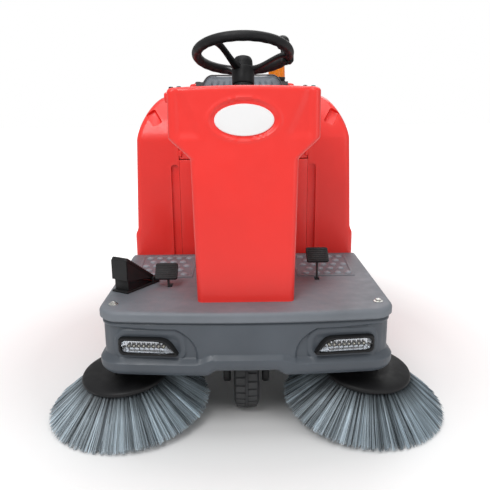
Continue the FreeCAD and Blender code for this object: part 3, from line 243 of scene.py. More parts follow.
@dataclass(frozen=True)
class Lens:
    """A clear or tinted moulded lens."""

    name: str
    colour: Colour
    roughness: float = 0.05
    see_through: float = 1.0
    ribs: float = 260.0

    def make(self) -> bpy.types.Material:
        """Return the material."""
        board = NodeBoard(self.name)
        tint = board.mix(board.remap(board.noise(30), 0.0, 1.0), shade(self.colour, 0.94), self.colour)
        board.link(tint, board.shader.inputs["Base Color"])
        board.set(Transmission_Weight=self.see_through, Roughness=self.roughness, IOR=1.49)
        board.link(board.bump(board.noise(self.ribs, 1), 0.0003, 0.12), board.shader.inputs["Normal"])
        return board.material


@dataclass(frozen=True)
class Strands:
    """Bristles: each strand has its own tone, and painted shade darkens it towards its root, under the disc.
    """

    name: str
    dark: Colour
    light: Colour
    roughness: float = 0.55

    def make(self) -> bpy.types.Material:
        """Return the material."""
        board = NodeBoard(self.name)
        tone = board.add("Attribute", attribute_name="tone").outputs["Fac"]
        along = board.add("Attribute", attribute_name="along").outputs["Fac"]
        colour = board.mix(tone, self.dark, self.light)
        # painted shade: the root half of each strand fades towards near black, standing in for the shadow
        # under the disc and inside the tuft
        colour = board.mix(board.remap(along, 0.0, 1.0, 0.0, 0.5), shade(self.dark, 0.35), colour)
        board.link(colour, board.shader.inputs["Base Color"])
        board.link(board.remap(board.noise(300), self.roughness * 0.8, self.roughness * 1.15),
                   board.shader.inputs["Roughness"])
        board.link(board.bump(board.noise(1500, 2), 0.0001, 0.3), board.shader.inputs["Normal"])
        return board.material


@dataclass(frozen=True)
class Vinyl:
    """Grained seat vinyl with a soft sheen and creases."""

    name: str
    colour: Colour

    def make(self) -> bpy.types.Material:
        """Return the material."""
        board = NodeBoard(self.name)
        place = board.add("TexCoord").outputs["Object"]
        cells = board.add("TexVoronoi", Scale=620.0, feature="DISTANCE_TO_EDGE")
        board.link(place, cells.inputs["Vector"])
        grain = board.remap(cells.outputs["Distance"], 0.0, 1.0, 0.0, 0.25)
        colour = board.mix(grain, shade(self.colour, 0.72), self.colour)
        colour = board.mix(board.remap(board.noise(14), 0.0, 0.5), colour, shade(self.colour, 1.25))
        board.link(colour, board.shader.inputs["Base Color"])
        board.link(board.remap(board.noise(60), 0.42, 0.6), board.shader.inputs["Roughness"])
        creases = board.bump(board.noise(38, 3), 0.003, 0.35)
        board.link(board.bump(grain, 0.0004, 0.5, creases), board.shader.inputs["Normal"])
        board.set(Sheen_Weight=0.15, Sheen_Roughness=0.5)
        return board.material


FINISHES = {
    "red_shell": Moulded("red_moulding", (0.88, 0.030, 0.022), 0.36, tone=0.04, grain=700,
                         grain_strength=0.12, coat=0.15, wear=0.05, wear_colour=(1.0, 0.25, 0.2)),
    "deck_grey": Moulded("grey_deck", (0.155, 0.172, 0.195), 0.5, tone=0.14, grain=650, grain_strength=0.35,
                         wear=0.3, wear_colour=(0.32, 0.34, 0.37)),
    "stud_grey": Moulded("grey_studs", (0.25, 0.275, 0.31), 0.42, tone=0.12, grain=650, grain_strength=0.3,
                         wear=0.35, wear_colour=(0.42, 0.45, 0.48)),
    "bumper_grey": Moulded("slate_bumper", (0.072, 0.085, 0.102), 0.42, tone=0.14, grain=800,
                           grain_strength=0.25, wear=0.3, wear_colour=(0.2, 0.24, 0.28)),
    "black_plastic": Moulded("black_grain", (0.0075, 0.0075, 0.0085), 0.5, tone=0.2, wear=0.10, specular=0.3,
                             wear_colour=(0.12, 0.12, 0.12)),
    "black_gloss": Moulded("black_rim", (0.007, 0.007, 0.008), 0.38, tone=0.2, wear=0.08, specular=0.35,
                           wear_colour=(0.1, 0.1, 0.1)),
    "black_steel": Moulded("black_powder", (0.011, 0.0115, 0.0125), 0.42, grain=1200, grain_strength=0.3,
                           tone=0.2, wear=0.25, wear_colour=(0.25, 0.25, 0.25), specular=0.35),
    "zinc_steel": Moulded("zinc_plate", (0.66, 0.66, 0.63), 0.3, grain=500, grain_strength=0.15, tone=0.1,
                          metallic=1.0, wear=0.3, wear_colour=(0.85, 0.85, 0.82)),
    "tyre_rubber": Moulded("tyre_black", (0.022, 0.023, 0.026), 0.72, grain=1000, grain_strength=0.4,
                           tone=0.25, wear=0.35, wear_colour=(0.09, 0.09, 0.09)),
    "lamp_silver": Moulded("reflector", (0.86, 0.88, 0.9), 0.12, grain=60, grain_strength=0.06, tone=0.05,
                           metallic=1.0, wear=0.0),
    "lamp_diode": Moulded("diode_cream", (0.95, 0.9, 0.7), 0.2, grain=2500, tone=0.08, wear=0.0),
    "white_badge": Moulded("white_plate", (0.88, 0.88, 0.88), 0.22, tone=0.02, grain=200,
                           grain_strength=0.05, coat=0.4, wear=0.0),
    "button_red": Moulded("red_cap", (0.75, 0.02, 0.02), 0.25, tone=0.05, coat=0.4),
    "button_green": Moulded("green_cap", (0.02, 0.35, 0.08), 0.3, tone=0.06, coat=0.3),
    "seat_vinyl": Vinyl("seat_vinyl", (0.16, 0.185, 0.215)),
    "piping": Moulded("piping_black", (0.02, 0.022, 0.026), 0.5, tone=0.2),
    "side_bristle": Strands("side_bristle", (0.030, 0.038, 0.046), (0.66, 0.78, 0.86)),
    "main_bristle": Strands("main_bristle", (0.02, 0.025, 0.03), (0.1, 0.13, 0.16)),
    "clear_lens": Lens("clear_lens", (0.97, 0.98, 1.0)),
    "amber_lens": Lens("amber_lens", (1.0, 0.30, 0.002), 0.15, 0.25),
    "tail_lens": Lens("tail_lens", (0.7, 0.02, 0.02), 0.1, 0.5),
    "floor": PaleFloor("studio_floor", (0.9, 0.9, 0.9)),
}
_made: dict[str, bpy.types.Material] = {}


def finish(name: str) -> bpy.types.Material:
    """Return a finish's material, made once."""
    if name not in _made:
        _made[name] = FINISHES[name].make()
    return _made[name]


# ------------------------------------------------------------------ the bench


Test = Callable[[Vector], bool]


class Bench:
    """One mesh on the bench, started as a primitive and shaped in edit mode."""

    def __init__(self, name: str) -> None:
        """Take the primitive that has just been added, apply its place, and name it.

        Args:
            name: The piece's name.
        """
        self.piece = bpy.context.object
        self.piece.name = name
        self.piece.data.name = name
        bpy.ops.object.transform_apply(location=True, rotation=True, scale=True)

    @staticmethod
    def clear() -> None:
        """Leave edit mode and deselect everything."""
        if bpy.context.object and bpy.context.object.mode != "OBJECT":
            bpy.ops.object.mode_set(mode="OBJECT")
        bpy.ops.object.select_all(action="DESELECT")

    @classmethod
    def box(cls, name: str, low: Sequence[float], high: Sequence[float]) -> "Bench":
        """Return a block between two corners."""
        cls.clear()
        low, high = Vector(low), Vector(high)
        bpy.ops.mesh.primitive_cube_add(size=1, location=(low + high) / 2, scale=high - low)
        return cls(name)

    @classmethod
    def rod(cls, name: str, centre: Sequence[float], radius: float, length: float, axis: Axis = Axis.Z,
            sides: int = 48, top: Optional[float] = None) -> "Bench":
        """Return a cylinder, or a cone if its top radius is given, centred on a point."""
        cls.clear()
        turn = {Axis.X: (0, math.pi / 2, 0), Axis.Y: (-math.pi / 2, 0, 0), Axis.Z: (0, 0, 0)}[axis]
        top = radius if top is None else top
        bpy.ops.mesh.primitive_cone_add(vertices=sides, radius1=radius, radius2=top, depth=length,
                                        location=centre, rotation=turn)
        return cls(name)

    @classmethod
    def ball(cls, name: str, centre: Sequence[float], radius: float) -> "Bench":
        """Return a sphere."""
        cls.clear()
        bpy.ops.mesh.primitive_uv_sphere_add(segments=40, ring_count=24, radius=radius, location=centre)
        return cls(name)

    @classmethod
    def ring(cls, name: str, radius: float, tube: float, sides: int = 180, round_sides: int = 24) -> "Bench":
        """Return a torus about Z at the origin."""
        cls.clear()
        bpy.ops.mesh.primitive_torus_add(major_radius=radius, minor_radius=tube, major_segments=sides,
                                         minor_segments=round_sides)
        return cls(name)

    @classmethod
    def loft(cls, name: str, rings: Sequence[Sequence[Point]], closed: bool = True,
             caps: bool = True) -> "Bench":
        """Return a skin over rings of equally many points.

        Args:
            name: The piece's name.
            rings: The rings, in order.
            closed: Whether each ring closes on itself.
            caps: Whether the first and last rings are filled.
        Returns:
            The mesh on the bench.
        """
        cls.clear()
        across, rows = len(rings[0]) + (1 if closed else 0), len(rings)
        bpy.ops.mesh.primitive_grid_add(x_subdivisions=across - 1, y_subdivisions=rows - 1, size=2)
        bench = cls(name)
        for vertex in bench.piece.data.vertices:
            column = round((vertex.co.x + 1) / 2 * (across - 1))
            row = round((vertex.co.y + 1) / 2 * (rows - 1))
            vertex.co = rings[row][column % len(rings[0])]
        if closed:
            bench.weld()
        bench.edit()
        if caps:
            for end in (0, -1):
                bench.cap(rings[end])
        bench.face_out()
        return bench

    def cap(self, ring: Sequence[Point]) -> None:
        """Fill the open end whose edges run through a ring's points, in edit mode."""
        spots = {tuple(round(value, 4) for value in point) for point in ring}
        self.pick("EDGE", lambda edge: edge.is_boundary and all(
            tuple(round(value, 4) for value in vertex.co) in spots for vertex in edge.verts))
        bpy.ops.mesh.edge_face_add()

    def choose(self) -> None:
        """Select this piece alone."""
        self.clear()
        bpy.context.view_layer.objects.active = self.piece
        self.piece.select_set(True)

    def edit(self) -> None:
        """Go to edit mode on this piece alone."""
        self.choose()
        bpy.ops.object.mode_set(mode="EDIT")

    def done_editing(self) -> None:
        """Leave edit mode with this piece selected."""
        bpy.ops.object.mode_set(mode="OBJECT")

    def weld(self) -> "Bench":
        """Merge points that lie on each other."""
        self.edit()
        bpy.ops.mesh.select_all(action="SELECT")
        bpy.ops.mesh.remove_doubles(threshold=WELD)
        self.done_editing()
        return self

    def face_out(self) -> "Bench":
        """Make all faces point outwards and leave edit mode."""
        self.edit()
        bpy.ops.mesh.select_all(action="SELECT")
        bpy.ops.mesh.normals_make_consistent(inside=False)
        self.done_editing()
        return self

    def pick(self, kind: str, test: Callable[[bmesh.types.BMEdge | bmesh.types.BMFace], bool]) -> None:
        """Select the edges or faces that pass a test, in edit mode.

        Args:
            kind: EDGE or FACE.
            test: Says of one edge or face whether it is selected.
        """
        bpy.ops.mesh.select_mode(type=kind)
        bpy.ops.mesh.select_all(action="DESELECT")
        mesh = bmesh.from_edit_mesh(self.piece.data)
        for item in mesh.edges if kind == "EDGE" else mesh.faces:
            if test(item):
                item.select_set(True)
        bmesh.update_edit_mesh(self.piece.data)

    def inset(self, test: Callable[[bmesh.types.BMFace], bool], width: float, depth: float) -> "Bench":
        """Inset the faces that pass a test as one region and push them in, or out if depth is above 0."""
        self.edit()
        self.pick("FACE", test)
        bpy.ops.mesh.inset(thickness=width, depth=0, use_even_offset=True)
        if depth:
            bpy.ops.mesh.inset(thickness=abs(depth) * 0.35, depth=depth, use_even_offset=True)
        self.done_editing()
        return self

    def bevel(self, test: Callable[[bmesh.types.BMEdge], bool], width: float, segments: int = 4) -> "Bench":
        """Round the edges that pass a test."""
        self.edit()
        self.pick("EDGE", test)
        bpy.ops.mesh.bevel(offset=width, segments=segments, affect="EDGES", clamp_overlap=True)
        self.done_editing()
        return self

    def slice(self, point: Point, normal: Point) -> "Bench":
        """Add a ring of edges where a plane crosses the piece."""
        self.edit()
        bpy.ops.mesh.select_all(action="SELECT")
        bpy.ops.mesh.bisect(plane_co=point, plane_no=normal)
        self.done_editing()
        return self

    def push(self, test: Test, move: Callable[[Vector], Vector]) -> "Bench":
        """Move each vertex that passes a test to a new place."""
        for vertex in self.piece.data.vertices:
            if test(vertex.co):
                vertex.co = move(vertex.co)
        return self

    def modify(self, kind: str, **values: object) -> "Bench":
        """Add a modifier, set it and apply it."""
        self.choose()
        modifier = self.piece.modifiers.new(kind.title(), kind)
        for name, value in values.items():
            setattr(modifier, name, value)
        bpy.ops.object.modifier_apply(modifier=modifier.name)
        return self

    def soften(self, width: float, segments: int = 3, angle: float = 28) -> "Bench":
        """Round every edge that is sharper than an angle in degrees."""
        return self.modify("BEVEL", width=width, segments=segments, limit_method="ANGLE",
                           angle_limit=math.radians(angle), use_clamp_overlap=True)

    def carve(self, *cutters: "Bench") -> "Bench":
        """Take other pieces away from this one and clear them from the bench."""
        for cutter in cutters:
            self.modify("BOOLEAN", operation="DIFFERENCE", object=cutter.piece, solver="EXACT")
            bpy.data.objects.remove(cutter.piece)
        return self

    def array(self, count: int) -> "Bench":
        """Repeat the mesh round Z."""
        return self.copies([Matrix.Rotation(math.tau * index / count, 4, "Z") for index in range(count)])

    def copies(self, moves: Iterable[Matrix]) -> "Bench":
        """Repeat the mesh once for each matrix."""
        mesh = bmesh.new()
        for move in moves:
            part = self.piece.data.copy()
            part.transform(move)
            mesh.from_mesh(part)
            bpy.data.meshes.remove(part)
        mesh.to_mesh(self.piece.data)
        mesh.free()
        return self

    def turn(self, matrix: Matrix) -> "Bench":
        """Carry the mesh by a matrix."""
        self.piece.data.transform(matrix)
        return self

    def join(self, *others: "Bench") -> "Bench":
        """Join other pieces to this one as separate shells of one object."""
        self.clear()
        for other in others:
            other.piece.select_set(True)
        self.piece.select_set(True)
        bpy.context.view_layer.objects.active = self.piece
        bpy.ops.object.join()
        return self

    def paint(self, *names: str) -> "Bench":
        """Give the piece its finishes, the first on every face."""
        self.piece.data.materials.clear()
        for name in names:
            self.piece.data.materials.append(finish(name))
        return self

    def fit(self, body: str, look: str, *nodes: str, angle: float = SMOOTH_ANGLE) -> bpy.types.Object:
        """Shade the piece, ride it on a body, and let it stand for CAD nodes.

        Args:
            body: The body that it rides on.
            look: Its main finish.
            nodes: The CAD nodes that it stands for.
            angle: Edges sharper than this stay sharp.
        Returns:
            The finished object.
        """
        self.choose()
        bpy.ops.object.shade_smooth_by_angle(angle=angle)
        if not self.piece.data.materials:
            self.paint(look)
        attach(self.piece, body)
        if nodes:
            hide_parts(*nodes)
        log.info("%s: %d faces", self.piece.name, len(self.piece.data.polygons))
        return self.piece


def rounded(half_x: float, half_y: float, radius: float, steps: int = 6) -> list[Plane]:
    """Return a rectangle with round corners about the origin, anticlockwise."""
    points = []
    for turn, (sign_x, sign_y) in enumerate(((1, 1), (-1, 1), (-1, -1), (1, -1))):
        for step in range(steps + 1):
            angle = math.pi / 2 * (turn + step / steps)
            points.append((sign_x * (half_x - radius) + radius * math.cos(angle),
                           sign_y * (half_y - radius) + radius * math.sin(angle)))
    return points


def unit(value: float) -> float:
    """Return a value held between 0 and 1."""
    return max(0.0, min(1.0, value))


def spun(degrees: float, axis: str) -> Matrix:
    """Return the matrix that turns by an angle in degrees about an axis."""
    return Matrix.Rotation(math.radians(degrees), 4, axis)


def smooth_step(value: float) -> float:
    """Return a value from 0 to 1 eased at both ends."""
    value = unit(value)
    return value * value * (3 - 2 * value)


def middle(low: Vector, high: Vector) -> Vector:
    """Return the middle of a box."""
    return (Vector(low) + Vector(high)) / 2


# ------------------------------------------------------------------ deck and bumper


def deck_front_line(x: float) -> float:
    """Return how far forward the deck's bowed front edge is at x, as a place on Y."""
    low, _ = box_of("deck_plate")
    return low.y + 0.028 * (x / 0.43) ** 2


@dataclass
class Deck:
    """The grey floor tray with its rolled lip, raised tread panels and bolts."""

    half: float = 0.43
    corner: float = 0.062
    roll: float = 0.012
    sheet: float = 0.008
    stud: tuple[float, float, float] = (0.0130, 0.0110, 0.0070)
    rows: int = 5
    columns: int = 5
    border: float = 0.010
    bolt_x: float = 0.39

    def outline(self, shrink: float) -> list[Plane]:
        """Return the deck's plan, set in by shrink, anticlockwise from the rear right."""
        _, high = box_of("deck_plate")
        corner = self.corner - shrink * 0.5
        points: list[Plane] = [(-self.half + shrink, high.y), (self.half - shrink, high.y)]
        for side in (1, -1):
            arc = []
            for step in range(9):
                angle = math.pi / 2 * step / 8
                x = self.half - shrink - corner + corner * math.cos(angle)
                y = deck_front_line(x) + shrink + corner - corner * math.sin(angle)
                arc.append((side * x, y))
            if side > 0:
                points += arc
                points += [(x, deck_front_line(x) + shrink) for x in
                           (0.36 - 0.72 * step / 16 for step in range(1, 16))]
            else:
                points += arc[::-1]
        return [points[0]] + points[:0:-1]

    def tray(self) -> None:
        """Make the tray as one skin: lip, rolled edge and top."""
        low, high = box_of("deck_plate")
        levels = [(self.sheet, low.z), (0.0035, low.z), (0.0, low.z + 0.004), (0.0, high.z - self.roll)]
        for step in range(1, 6):
            angle = math.pi / 2 * step / 5
            levels.append((self.roll * (1 - math.cos(angle)), high.z - self.roll * (1 - math.sin(angle))))
        levels += [(0.03, high.z), (0.06, high.z)]
        rings = [[(x, y, level) for x, y in self.outline(shrink)] for shrink, level in levels]
        under = [[(x, y, level) for x, y in self.outline(shrink)]
                 for shrink, level in ((0.05, high.z - self.sheet),
                                       (self.sheet, high.z - self.sheet - 0.004))]
        tray = Bench.loft("deck_tray", under + rings[:1] + rings)
        slot = [Bench.box("slot", (x - 0.008, y - 0.018, 0.3), (x + 0.008, y + 0.020, 0.45))
                for x, y in ((-0.243, -0.397), (0.238, -0.338))]
        slot.append(Bench.box("pocket", (-0.258, -0.515, 0.3), (-0.228, -0.380, 0.3790)))
        tray.carve(*slot)
        tray.face_out()
        tray.fit("root", "deck_grey", "deck_plate")

    def treads(self) -> None:
        """Make the two raised tread panels, each with a border and staggered studs."""
        low, high = box_of("tread_panels")
        top = high.z
        for side in Side:
            sign = side.value
            inner, outer, front_outer = 0.176, 0.385, 0.372
            plan = [(inner, low.y), (front_outer, low.y), (outer, high.y), (inner, high.y)]
            rings = []
            for shrink, level in ((0.0, low.z), (0.0015, top - 0.0008), (0.003, top), (self.border, top),
                                  (self.border + 0.002, top - 0.0022), (0.04, top - 0.0022)):
                mid_x, mid_y = (inner + outer) / 2, (low.y + high.y) / 2
                rings.append([(sign * (x + math.copysign(shrink, mid_x - x)),
                               y + math.copysign(shrink, mid_y - y), level) for x, y in plan])
            panel = Bench.loft(f"tread_{side.word}", rings)
            panel.modify("BEVEL", width=0.006, segments=3, limit_method="ANGLE",
                         angle_limit=math.radians(60), use_clamp_overlap=True)
            studs = Bench.ball(f"tread_studs_{side.word}", (0, 0, 0), 1.0)
            studs.turn(Matrix.Diagonal((*self.stud, 1.0)))
            studs.modify("DECIMATE", ratio=0.25)
            moves = []
            for row in range(self.rows):
                for column in range(self.columns):
                    shift = 0.5 * (row % 2)
                    if column + shift > self.columns - 1:
                        continue
                    x = inner + 0.032 + (column + shift) * (outer - inner - 0.064) / (self.columns - 1)
                    y = low.y + 0.034 + row * (high.y - low.y - 0.068) / (self.rows - 1)
                    moves.append(Matrix.Translation((sign * x, y, top - 0.0030)))
            studs.copies(moves)
            studs.fit("root", "stud_grey")
            panel.face_out()
            panel.fit("root", "deck_grey", *side.carries("tread_panels"))

    def bolts(self) -> None:
        """Make the hex bolts and washers at the deck's front corners."""
        low, high = box_of("deck_bolts")
        for side in Side:
            x, y = side.value * self.bolt_x, (low.y + high.y) / 2
            washer = Bench.rod(f"deck_bolt_{side.word}", (x, y, 0.396), 0.014, 0.002, sides=40)
            head = Bench.rod("head", (x, y, 0.3995), 0.0085, 0.005, sides=6)
            cup = Bench.rod("cup", (x, y, 0.404), 0.005, 0.006, sides=6)
            head.carve(cup)
            head.soften(0.0008, 2)
            washer.soften(0.0005, 2)
            washer.join(head)
            washer.fit("root", "zinc_steel", *side.carries("deck_bolts"))

    def build(self) -> None:
        """Make the whole deck."""
        self.tray()
        self.treads()
        self.bolts()


@dataclass
class Bumper:
    """The deep slate front bumper: lamp bays, a stepped ridge, a notch and round lower corners."""

    half: float = 0.4285
    inset: float = 0.0025
    wall: float = 0.009
    columns: int = 400
    rows: int = 64
    corner: float = 0.060
    ridge_rise: float = 0.0125
    ridge_side: float = 0.250
    ridge_middle: float = 0.263
    notch_half: tuple[float, float] = (0.085, 0.118)
    bay_depth: float = 0.009

    def plan(self, share: float) -> tuple[Plane, Plane]:
        """Return a point of the plan and its outward direction, from the right return to the left one."""
        low, high = box_of("front_bumper")
        straight, arc = high.y - (low.y + 0.09), self.corner * math.pi / 2
        total = 2 * straight + 2 * arc + 2 * (self.half - self.corner)
        run = share * total
        mirrored = run > total / 2
        if mirrored:
            run = total - run
        if run < straight:
            point, out = (-self.half, high.y - run), (-1.0, 0.0)
        elif run < straight + arc:
            angle = (run - straight) / self.corner
            centre = (-self.half + self.corner, high.y - straight)
            point = (centre[0] - self.corner * math.cos(angle), centre[1] - self.corner * math.sin(angle))
            out = (-math.cos(angle), -math.sin(angle))
        else:
            x = -self.half + self.corner + (run - straight - arc)
            point, out = (x, high.y - straight - self.corner), (0.0, -1.0)
        front_y = high.y - straight - self.corner
        rear_y = high.y - 0.20
        share_in = smooth_step((rear_y - point[1]) / (rear_y - front_y)) if point[1] < high.y else 0
        bow = deck_front_line(point[0]) + self.inset - front_y
        point = (point[0], point[1] + bow * share_in)
        return ((-point[0], point[1]), (-out[0], out[1])) if mirrored else (point, out)

    def bottom(self, x: float, y: float) -> float:
        """Return the height of the lower edge, which steps up in the middle."""
        low, _ = box_of("front_bumper")
        inner, outer = self.notch_half
        step = 1 - smooth_step((abs(x) - inner) / (outer - inner))
        if y < low.y + 0.3:
            return low.z + 0.016 * step
        return low.z + 0.012 * smooth_step((y - low.y - 0.3) / 0.1)

    def ridge(self, x: float) -> float:
        """Return the height where the lower ridge starts to stand out."""
        inner, outer = 0.101, 0.142
        step = 1 - smooth_step((abs(x) - inner) / (outer - inner))
        return self.ridge_side + (self.ridge_middle - self.ridge_side) * step

    def bay(self, x: float, z: float) -> float:
        """Return how deep the surface lies inside a lamp's bay, from 0 to 1."""
        across = abs(x)
        top = 0.351 - 0.006 * smooth_step((0.40 - across) / 0.15)
        bend = max(0.0, (z - 0.255) / 0.088)
        inner = smooth_step((across - (0.138 + 0.062 * bend ** 2.6)) / 0.009)
        return inner * smooth_step((top - z) / 0.008)

    @staticmethod
    def surround(x: float, z: float) -> float:
        """Return how far the raised border round a lamp stands out, from 0 to 1."""
        reach_x = max(0.0, abs(abs(x) - 0.279) - 0.066)
        reach_z = max(0.0, abs(z - 0.289) - 0.010)
        away = math.hypot(reach_x, reach_z)
        return smooth_step((0.0425 - away) / 0.007) * smooth_step((away - 0.010) / 0.02)

    def surface(self, share: float, rise: float) -> Point:
        """Return the point of the skin at a share of the run and a share of the height."""
        low, high = box_of("front_bumper")
        (x, y), out = self.plan(share)
        foot = self.bottom(x, y)
        z = foot + (high.z - foot) * rise
        front = smooth_step((low.y + 0.22 - y) / 0.1)
        ridge = self.ridge(x)
        stand = unit((ridge + 0.003 - z) / 0.0135)
        off = self.ridge_rise * stand * front - 0.006
        off -= self.bay_depth * self.bay(x, z) * (1 - stand) * smooth_step((0.44 - abs(x)) / 0.03) * front
        off += 0.0045 * self.surround(x, z) * (1 - stand) * front
        off -= 0.004 * (1 - smooth_step((high.z - z - 0.004) / 0.006))
        roll = max(0.0, 1 - (z - foot) / 0.028)
        off -= 0.016 * roll ** 2.6
        return (x + out[0] * off, y + out[1] * off, z)

    def build(self) -> None:
        """Make the bumper's shell."""
        rings = [[self.surface(column / self.columns, row / self.rows) for column in range(self.columns + 1)]
                 for row in range(self.rows + 1)]
        shell = Bench.loft("bumper_shell", rings, closed=False, caps=False)
        shell.modify("SOLIDIFY", thickness=self.wall, offset=-1)
        shell.carve(*[LampUnit.opening(side, 0.001) for side in SIDES])
        shell.fit("root", "bumper_grey", "front_bumper", angle=math.radians(24))


@dataclass
class LampUnit:
    """A head lamp: rubber bezel, reflector cups, a row of diodes and a clear lens."""

    diodes: int = 9
    pitch: float = 0.0145
    rim: float = 0.0065

    @staticmethod
    def outline(side: int, grow: float, steps: int = 7) -> list[Plane]:
        """Return the lamp's outline about its centre: round outside, slanted inside."""
        half_x, half_z = 0.081 + grow, 0.0182 + grow
        tight = min(1.0, half_z / 0.0182)
        points = []
        inner_top, inner_low = -half_x + 0.036, -half_x
        corners = [((half_x, half_z), 0.0175 * tight), ((inner_top, half_z), 0.026 * tight),
                   ((inner_low, -half_z), 0.015 * tight), ((half_x, -half_z), 0.0175 * tight)]
        for index, ((x, z), radius) in enumerate(corners):
            before = Vector(corners[index - 1][0]) - Vector((x, z))
            after = Vector(corners[(index + 1) % 4][0]) - Vector((x, z))
            start = Vector((x, z)) + before.normalized() * radius
            end = Vector((x, z)) + after.normalized() * radius
            for step in range(steps):
                share = step / (steps - 1)
                point = (start * (1 - share) ** 2 + Vector((x, z)) * 2 * share * (1 - share)
                         + end * share ** 2)
                points.append((side * point.x, point.y))
        return points

    @classmethod
    def ring(cls, side: int, grow: float, depth: float) -> list[Point]:
        """Return the outline as a ring in place, at a depth behind the lamp's face."""
        low, high = box_of("headlight_bezels")
        turn = Matrix.Rotation(side * math.radians(6.6), 4, "Z")
        centre = Vector((side * 0.281, low.y + 0.0145, (low.z + high.z) / 2))
        return [tuple(centre + turn @ Vector((x, depth, z))) for x, z in cls.outline(side, grow)]

    @classmethod
    def opening(cls, side: int, grow: float) -> Bench:
        """Return the block that cuts the lamp's hole in the bumper."""
        return Bench.loft("opening", [cls.ring(side, 0.0085 + grow, depth) for depth in (-0.08, 0.12)])

    def bezel(self, side: Side) -> None:
        """Make the rubber bezel round a lamp."""
        sign = side.value
        profile = [(0.008, 0.03), (0.008, -0.002), (0.0065, -0.0055), (0.004, -0.0068), (0.0010, -0.0055),
                   (-0.0008, -0.001), (-0.0008, 0.006), (-0.0008, 0.03)]
        rings = [self.ring(sign, grow, depth) for grow, depth in profile]
        bezel = Bench.loft(f"lamp_bezel_{side.word}", rings + rings[:1], caps=False)
        bezel.weld()
        bezel.face_out()
        bezel.fit("root", "black_plastic", *side.carries("headlight_bezels"))

    def reflector(self, side: Side) -> None:
        """Make the mirrored tub with its row of cups and diodes."""
        sign = side.value
        rings = [self.ring(sign, grow, depth) for grow, depth in
                 ((-0.0005, 0.002), (-0.001, 0.008), (-0.007, 0.020), (-0.016, 0.024))]
        tub = Bench.loft(f"lamp_reflector_{side.word}", rings, caps=False)
        tub.edit()
        tub.cap(rings[-1])
        tub.done_editing()
        low, high = box_of("headlight_bezels")
        turn = Matrix.Rotation(sign * math.radians(6.6), 4, "Z")
        centre = Vector((sign * 0.281, low.y + 0.0145, (low.z + high.z) / 2))
        upper = Bench.rod(f"lamp_cups_{side.word}", (0, 0, 0), 0.0062, 0.008, Axis.Y, 20, top=0.0035)
        upper.inset(lambda face: face.normal.y < -0.9, 0.0012, -0.006)
        cups, chips = [], []
        for index in range(self.diodes):
            x = sign * (-0.056 + index * self.pitch)
            cups.append(Matrix.Translation(centre) @ turn @ Matrix.Translation((x, 0.012, -0.001)))
            chips.append(Matrix.Translation(centre) @ turn @ Matrix.Translation((x, 0.0110, -0.001)))
        upper.copies(cups)
        ridge = Bench.box("ridge", (-0.0012, 0.006, 0.004), (0.0012, 0.022, 0.0150)).soften(0.0005, 1)
        spot = Matrix.Translation(centre) @ turn
        ridge.copies([spot @ Matrix.Translation((sign * (-0.05 + self.pitch * index), 0, 0))
                      for index in range(self.diodes)])
        upper.fit("root", "black_gloss")
        tub.join(ridge)
        tub.fit("root", "lamp_silver", *side.carries("headlight_lamps"))
        chip = Bench.rod(f"lamp_diodes_{side.word}", (0, 0, 0), 0.0024, 0.005, Axis.Y, 14, top=0.0018)
        chip.copies(chips)
        chip.fit("root", "lamp_diode")

    def lens(self, side: Side) -> None:
        """Make the clear lens."""
        sign = side.value
        rings = [self.ring(sign, grow, depth) for grow, depth in
                 ((-0.0008, 0.0015), (-0.0004, -0.001), (-0.004, -0.0032), (-0.012, -0.0040))]
        lens = Bench.loft(f"lamp_lens_{side.word}", rings)
        lens.fit("root", "clear_lens", *side.carries("headlight_lenses"))

    def build(self) -> None:
        """Make both lamps."""
        for side in Side:
            self.bezel(side)
            self.reflector(side)
            self.lens(side)


def circle(radius: float, level: float, sides: int) -> list[Point]:
    """Return a ring of points about Z."""
    return [(radius * math.cos(math.tau * step / sides), radius * math.sin(math.tau * step / sides), level)
            for step in range(sides)]


def turned(name: str, profile: Sequence[Plane], sides: int = 64, caps: bool = True) -> Bench:
    """Return a piece turned about Z from (radius, height) points."""
    return Bench.loft(name, [circle(radius, level, sides) for radius, level in profile], caps=caps)


def hoop(name: str, profile: Sequence[Plane], sides: int = 64) -> Bench:
    """Return a ring turned about Z from a closed outline of (radius, height) points."""
    bench = Bench.loft(name, [circle(radius, level, sides) for radius, level in (*profile, profile[0])],
                       caps=False)
    bench.edit()
    bpy.ops.mesh.select_all(action="SELECT")
    bpy.ops.mesh.remove_doubles(threshold=0.00002)
    bench.done_editing()
    return bench.face_out()


ONTO_X = Matrix.Rotation(math.pi / 2, 4, "Y")


# ------------------------------------------------------------------ console


